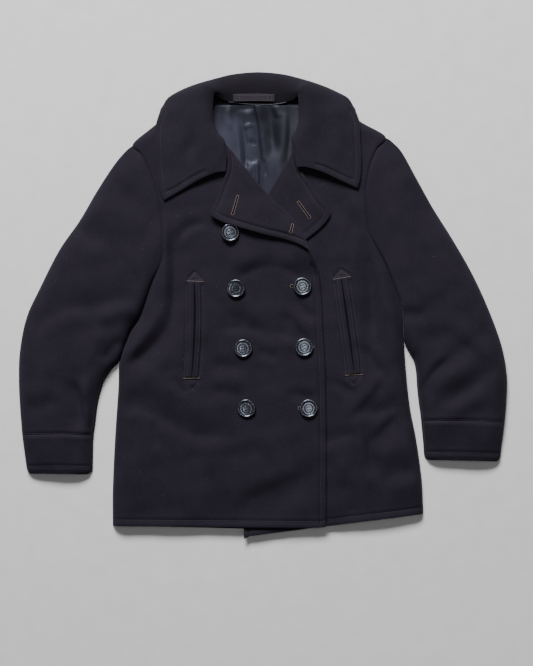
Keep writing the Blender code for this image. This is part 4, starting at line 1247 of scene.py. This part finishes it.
def build_backs(wool, thread):
    for side in SIDES:
        grid = back_grid(side)
        hem_line = cross_line(grid, HEM_STITCH)
        back = Cloth(f"back_{side}", pressed(grid, EVERY, [hem_line], -PRESS_DEPTH), wool)
        back.stitch([hem_line], thread, below=True)
        yield back


def pocket_sewing(side):
    """The bars across the ends of a front's pocket, the lines sewn round it, and the lines that
    fill its triangle."""
    bars, lines, fills = [], [], []
    for front, bar, corners, filled in POCKET_ENDS:
        if front != side:
            continue
        bars.append(bar)
        lines.append([*corners, corners[0]])
        first, last, apex = np.array(corners, float)
        for share in np.linspace(*FILL_SHARES, FILL_ROWS) if filled else ():
            fills.append([first + (apex - first) * share, last + (apex - last) * share])
    place = np.linspace(*SLIT_SEWN)
    lines += [slit_line(side, place, out) for out in SLIT_STITCHES]
    return bars, lines, fills


def build_fronts(wool, thread, tan):
    for side in SIDES:
        inside = EDGE_STITCH if side == "right" else -EDGE_STITCH
        grid, turn = front_grid(side)
        border = grid[:, -1, :2]
        edge, lapel = border[turn < EDGE_TURN], border[turn > LAPEL_TURN]
        edge = edge[edge[:, 1] < lapel[0, 1] - EDGE_STOP]
        edge_line, lapel_line = inner_line(edge, inside), inner_line(lapel, -inside)
        hem_line = cross_line(grid, HEM_STITCH)
        bars, lines, fills = pocket_sewing(side)
        grid = pressed(grid, EVERY, [edge_line, hem_line], PRESS_DEPTH)
        grid = pressed(grid, slice(0, -LAPEL_STEPS), lines, PRESS_DEPTH)
        grid = pressed(grid, slice(-LAPEL_STEPS, None), [lapel_line], PRESS_DEPTH)
        front = Cloth(f"{side}_front", grid, wool)
        front.stitch([edge_line, lapel_line, hem_line, *lines, *fills], thread)
        front.sewn.append(whipped(f"{side}_pocket_bars", front.surface, bars, tan, *BAR_WHIPS))
        yield front


def build_sleeves(wool, thread):
    for side in SIDES:
        for half in ("top", "under"):
            upper = half == "top"
            grid = sleeve_grid(side, upper)
            lines = [cross_line(grid[::-1], distance) for distance in CUFF_STITCHES]
            grid = pressed(grid, EVERY, lines, PRESS_DEPTH if upper else -PRESS_DEPTH)
            sleeve = Cloth(f"{side}_sleeve_{half}", grid, wool)
            sleeve.stitch(lines, thread, below=not upper)
            yield sleeve


def build_collar(wool, thread):
    grid = collar_grid()
    along, across = grid.shape[:2]
    leaf, tip = int(along // 2 * LEAF_SHARE), int(across * TIP_SHARE)
    lines = []
    for rows, inside in ((grid, -EDGE_STITCH), (grid[::-1], EDGE_STITCH)):
        border = np.concatenate((rows[0, tip:, :2], rows[1:leaf, -1, :2]))
        lines.append(inner_line(border, inside))
    grid = pressed(grid, slice(across // 3, None), lines, PRESS_DEPTH)
    collar = Cloth("collar", grid, wool, "wool_collar")
    collar.stitch(lines, thread)
    return collar


def build_piping(finish):
    """The satin cord along the lining's top, a little sunk in the collar's stand."""
    flat = even_line(PIPING, PIPING_SPACING)
    centre = raised(flat, stand_level(flat) + CLOTH / 2 + PIPING_RADIUS - PIPING_SINK)
    cord = bmesh.new()
    thread_tube(cord, centre, np.tile((0.0, 0.0, 1.0), (len(flat), 1)), PIPING_RADIUS)
    return finished_thread("lining_piping", cord, finish)


def build_loop(tape, thread):
    """The loop that the coat hangs by, with a box of stitches and a bar across each end."""
    loop = Cloth("hanger_loop", loop_grid(), tape, "wool_collar", LOOP_THICK, LOOP_EDGE_SOFT)
    in_ends, in_edges = LOOP_STITCH
    left, right = LOOP_START + in_ends, LOOP_END - in_ends
    foot, top = LOOP_FOOT + in_edges, LOOP_TOP - in_edges
    box = [(left, foot), (right, foot), (right, top), (left, top), (left, foot)]
    bars = [[(x, foot), (x, top)] for x in (left + LOOP_BARS, right - LOOP_BARS)]
    loop.stitch([box, *bars], thread, pitch=LOOP_PITCH)
    return loop


def build_pockets(coat, wool, thread, dark):
    """The two lips of each pocket and, sewn to the second, the dark strip of painted shadow that shows
    between them.
    """
    for side, names in (("right", ("side", "front")), ("left", ("front", "side"))):
        lips = []
        for sign, name in zip((-1.0, 1.0), names):
            grid = lip_grid(side, sign)
            lip = Cloth(f"{side}_pocket_{name}_lip", grid, wool, "wool", LIP_THICK, LIP_EDGE_SOFT)
            lip.stitch([grid[:, LIP_STITCH, :2]], thread)
            lips.append(lip)
        place = np.linspace(*SLIT_SHOWN)
        line, half = slit_line(side, place, 0.0), slit_half(place) * STRIP_SHARE + STRIP_MORE
        strip = ribbon(f"{side}_pocket_slit_shadow", coat[f"{side}_front"].surface, line, half, dark)
        lips[-1].sewn.append(strip)
        yield from lips


def build_buttonholes(coat, tan, dark):
    for number, (side, start, end) in enumerate(BUTTONHOLES, 1):
        front = coat[f"{side}_front"]
        front.sewn += buttonhole(f"buttonhole_{number}", front.surface, start, end, tan, dark)


# --- buttons ---------------------------------------------------------------------------------

def round_middle(radius, angle, height):
    """A place round a button's middle, in metres."""
    return Vector((radius * math.cos(angle), radius * math.sin(angle), height)) * MM


def turned_blank():
    """A button's outline, spun round its middle."""
    made = bmesh.new()
    points = [made.verts.new(round_middle(radius, 0.0, height)) for radius, height in BUTTON_OUTLINE]
    edges = [made.edges.new(ends) for ends in zip(points, points[1:])]
    bmesh.ops.spin(made, geom=[*points, *edges], cent=(0.0, 0.0, 0.0), axis=(0.0, 0.0, 1.0),
                   angle=2.0 * math.pi, steps=BUTTON_SIDES, use_merge=True)
    bmesh.ops.remove_doubles(made, verts=made.verts, dist=BUTTON_MERGE)
    bmesh.ops.dissolve_degenerate(made, edges=made.edges, dist=BUTTON_MERGE)
    bmesh.ops.recalc_face_normals(made, faces=made.faces)
    return placed("button_blank", mesh_of("button_blank", made))


def button_mesh():
    """A moulded button: rim, a ring of small dots, a ridge round the middle and four holes."""
    blank = turned_blank()
    drills = []
    for number in range(4):
        drill = bmesh.new()
        middle = Matrix.Translation(round_middle(HOLE_RING, math.pi * (number + 0.5) / 2, BUTTON_FACE / 2))
        bmesh.ops.create_cone(drill, cap_ends=True, segments=HOLE_SIDES, radius1=HOLE_RADIUS * MM,
                              radius2=HOLE_RADIUS * MM, depth=4 * BUTTON_FACE * MM, matrix=middle)
        cutter = placed(f"button_drill_{number}", mesh_of("button_drill", drill))
        modify(blank, f"hole_{number}", "BOOLEAN", operation="DIFFERENCE", solver="EXACT", object=cutter)
        drills.append(cutter)
    bpy.context.view_layer.update()
    drilled = bpy.data.meshes.new_from_object(blank.evaluated_get(bpy.context.evaluated_depsgraph_get()))
    for used in (blank, *drills):
        bpy.data.objects.remove(used)
    dotted = bmesh.new()
    dotted.from_mesh(drilled)
    for number in range(DOTS):
        middle = round_middle(DOT_RING, 2.0 * math.pi * number / DOTS, BUTTON_FACE + DOT_RISE)
        flattened = Matrix.Translation(middle) @ Matrix.Diagonal((1.0, 1.0, DOT_FLAT, 1.0))
        bmesh.ops.create_icosphere(dotted, subdivisions=2, radius=DOT_RADIUS * MM, matrix=flattened)
    dotted.to_mesh(drilled)
    dotted.free()
    drilled.shade_smooth()
    drilled.set_sharp_from_angle(angle=BUTTON_SHARP)
    return drilled


def button_place(x, y, turn, lean_x, lean_y):
    """Where a button's underside lies, turned and leaning as the cloth under it does."""
    middle, normal = on_front("right", np.array((x, y), float), SEAM)
    normal = unit(normal * BUTTON_FOLLOWS + (0.0, 0.0, 1.0 - BUTTON_FOLLOWS))
    angle = np.linspace(0.0, 2.0 * math.pi, 12, endpoint=False)
    rim = np.stack((x + BUTTON_RADIUS * np.cos(angle), y + BUTTON_RADIUS * np.sin(angle)), axis=1)
    lift = max(float(np.max((on_front("right", rim, SEAM)[0] - middle) @ normal)), 0.0)
    up = Vector((0.0, 0.0, 1.0)).rotation_difference(Vector(normal)).to_matrix().to_4x4()
    spin = Matrix.Rotation(math.radians(turn), 4, "Z")
    slope = math.radians(math.hypot(lean_x, lean_y))
    lean = Matrix.Rotation(slope, 4, Vector((-lean_y, lean_x, 0.0)))
    rise = lift + BUTTON_RADIUS * math.sin(slope)
    return Matrix.Translation(Vector(middle + normal * rise + SHIFT) * MM) @ lean @ up @ spin


def button_threads(name, place, thread):
    """Two pairs of threads through the holes, side by side."""
    made = bmesh.new()
    reach = HOLE_RING * math.cos(math.pi / 4)
    share = np.linspace(-1.0, 1.0, BUTTON_THREAD_POINTS)
    sunk = np.clip((np.abs(share) - THREAD_BENDS) / (1.0 - THREAD_BENDS), 0.0, 1.0)
    up = np.tile(place.to_3x3() @ Vector((0.0, 0.0, 1.0)), (len(share), 1))
    for side in (-reach, reach):
        for apart in (-THREADS_APART, THREADS_APART):
            y = np.full_like(share, side + apart)
            height = BUTTON_FACE + THREAD_OVER - THREAD_DOWN * sunk
            centre = np.stack((reach * THREAD_REACH * share, y, height), axis=1)
            points = np.array([place @ Vector(point * MM) for point in centre]) / MM - SHIFT
            thread_tube(made, points, up, BUTTON_THREAD)
    return finished_thread(name, made, thread)


def build_buttons(plastic, thread):
    blank = button_mesh()
    for number, row in enumerate(BUTTONS, 1):
        place = button_place(*row)
        mesh = blank.copy()
        mesh.transform(place)
        piece = add_piece(f"button_{number}_disc", mesh, plastic)
        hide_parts(f"button_{number}")
        button_threads(f"button_{number}_thread", place, thread)
    bpy.data.meshes.remove(blank)


# --- floor, light and camera -----------------------------------------------------------------

FLOOR_HALF, FLOOR_DOWN = 4.0, 0.0003
# A row for each light: its place, what it points at, its width and length, and its power.
LIGHTS = {
    "window": ((-0.95, 4.2, 3.2), (0.0, -0.1, 0.0), (2.6, 1.7), 590.0),
    "softbox": ((0.22, 0.0, 3.2), (0.22, 0.0, 0.0), (0.4, 1.3), 14.0),
}
ROOM_LIGHT = 0.05
LENS, SENSOR = 85.0, 36.0
PICTURE_LONG = 1.1988           # the picture's long side, in metres on the coat
CAMERA_X, CAMERA_Y = 0.00645, -0.0502
COAT_HEIGHT = 0.02              # the level at which the picture's scale is right


def build_floor():
    made = bmesh.new()
    level = Matrix.Translation((0.0, 0.0, -FLOOR_DOWN))
    bmesh.ops.create_grid(made, x_segments=1, y_segments=1, size=FLOOR_HALF, matrix=level)
    mesh = mesh_of("floor", made)
    mesh.materials.append(floor_finish())
    placed("floor", mesh)


def build_light():
    for name, (place, target, size, power) in LIGHTS.items():
        lamp = bpy.data.lights.new(name, "AREA")
        lamp.shape = "RECTANGLE"
        lamp.size, lamp.size_y = size
        lamp.energy = power
        made = placed(name, lamp)
        made.location = place
        made.rotation_euler = (Vector(target) - Vector(place)).to_track_quat("-Z", "Y").to_euler()
    world = bpy.data.worlds.new("room")
    world.use_nodes = True
    background = world.node_tree.nodes["Background"].inputs
    background["Color"].default_value = (1.0, 1.0, 1.0, 1.0)
    background["Strength"].default_value = ROOM_LIGHT
    bpy.context.scene.world = world


def build_camera():
    lens = bpy.data.cameras.new("overhead")
    lens.lens = LENS
    lens.sensor_width = SENSOR
    camera = placed("overhead", lens)
    camera.location = (CAMERA_X, CAMERA_Y, PICTURE_LONG * LENS / SENSOR + COAT_HEIGHT)
    bpy.context.scene.camera = camera


def declare(coat):
    """Goes through the pieces of cloth in the table of cuts and makes a list of what is sewn to each, which
    it doesn't keep.
    """
    for node, (width, length, share, lies_on) in CUTS.items():
        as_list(coat[node].sewn)


def main():
    wool = wool_finish("melton_wool", WOOL_COLOUR)
    collar_wool = wool_finish("melton_wool_collar", COLLAR_COLOUR, NECK_SHADE_PATCH)
    tape = wool_finish("loop_tape", LOOP_COLOUR)
    thread = thread_finish("wool_thread", THREAD_COLOUR)
    tan = thread_finish("buttonhole_thread", BUTTONHOLE_COLOUR)
    loop_thread = thread_finish("loop_thread", LOOP_THREAD_COLOUR)
    piping = thread_finish("lining_piping", PIPING_COLOUR, 0.4)
    dark = slit_shadow_finish()

    panels = [*build_backs(wool, thread), *build_fronts(wool, thread, tan), *build_sleeves(wool, thread)]
    panels.append(build_collar(collar_wool, thread))
    lining = Cloth("lining", lining_grid(), satin_finish(), "satin", SATIN, SATIN_EDGE_SOFT)
    panels += [lining, build_loop(tape, loop_thread)]
    lining.sewn.append(build_piping(piping))
    coat = {panel.node: panel for panel in panels}
    coat |= {lip.node: lip for lip in build_pockets(coat, wool, thread, dark)}
    build_buttons(plastic_finish(), thread)
    build_buttonholes(coat, tan, dark)
    declare(coat)

    build_floor()
    build_light()
    build_camera()


main()
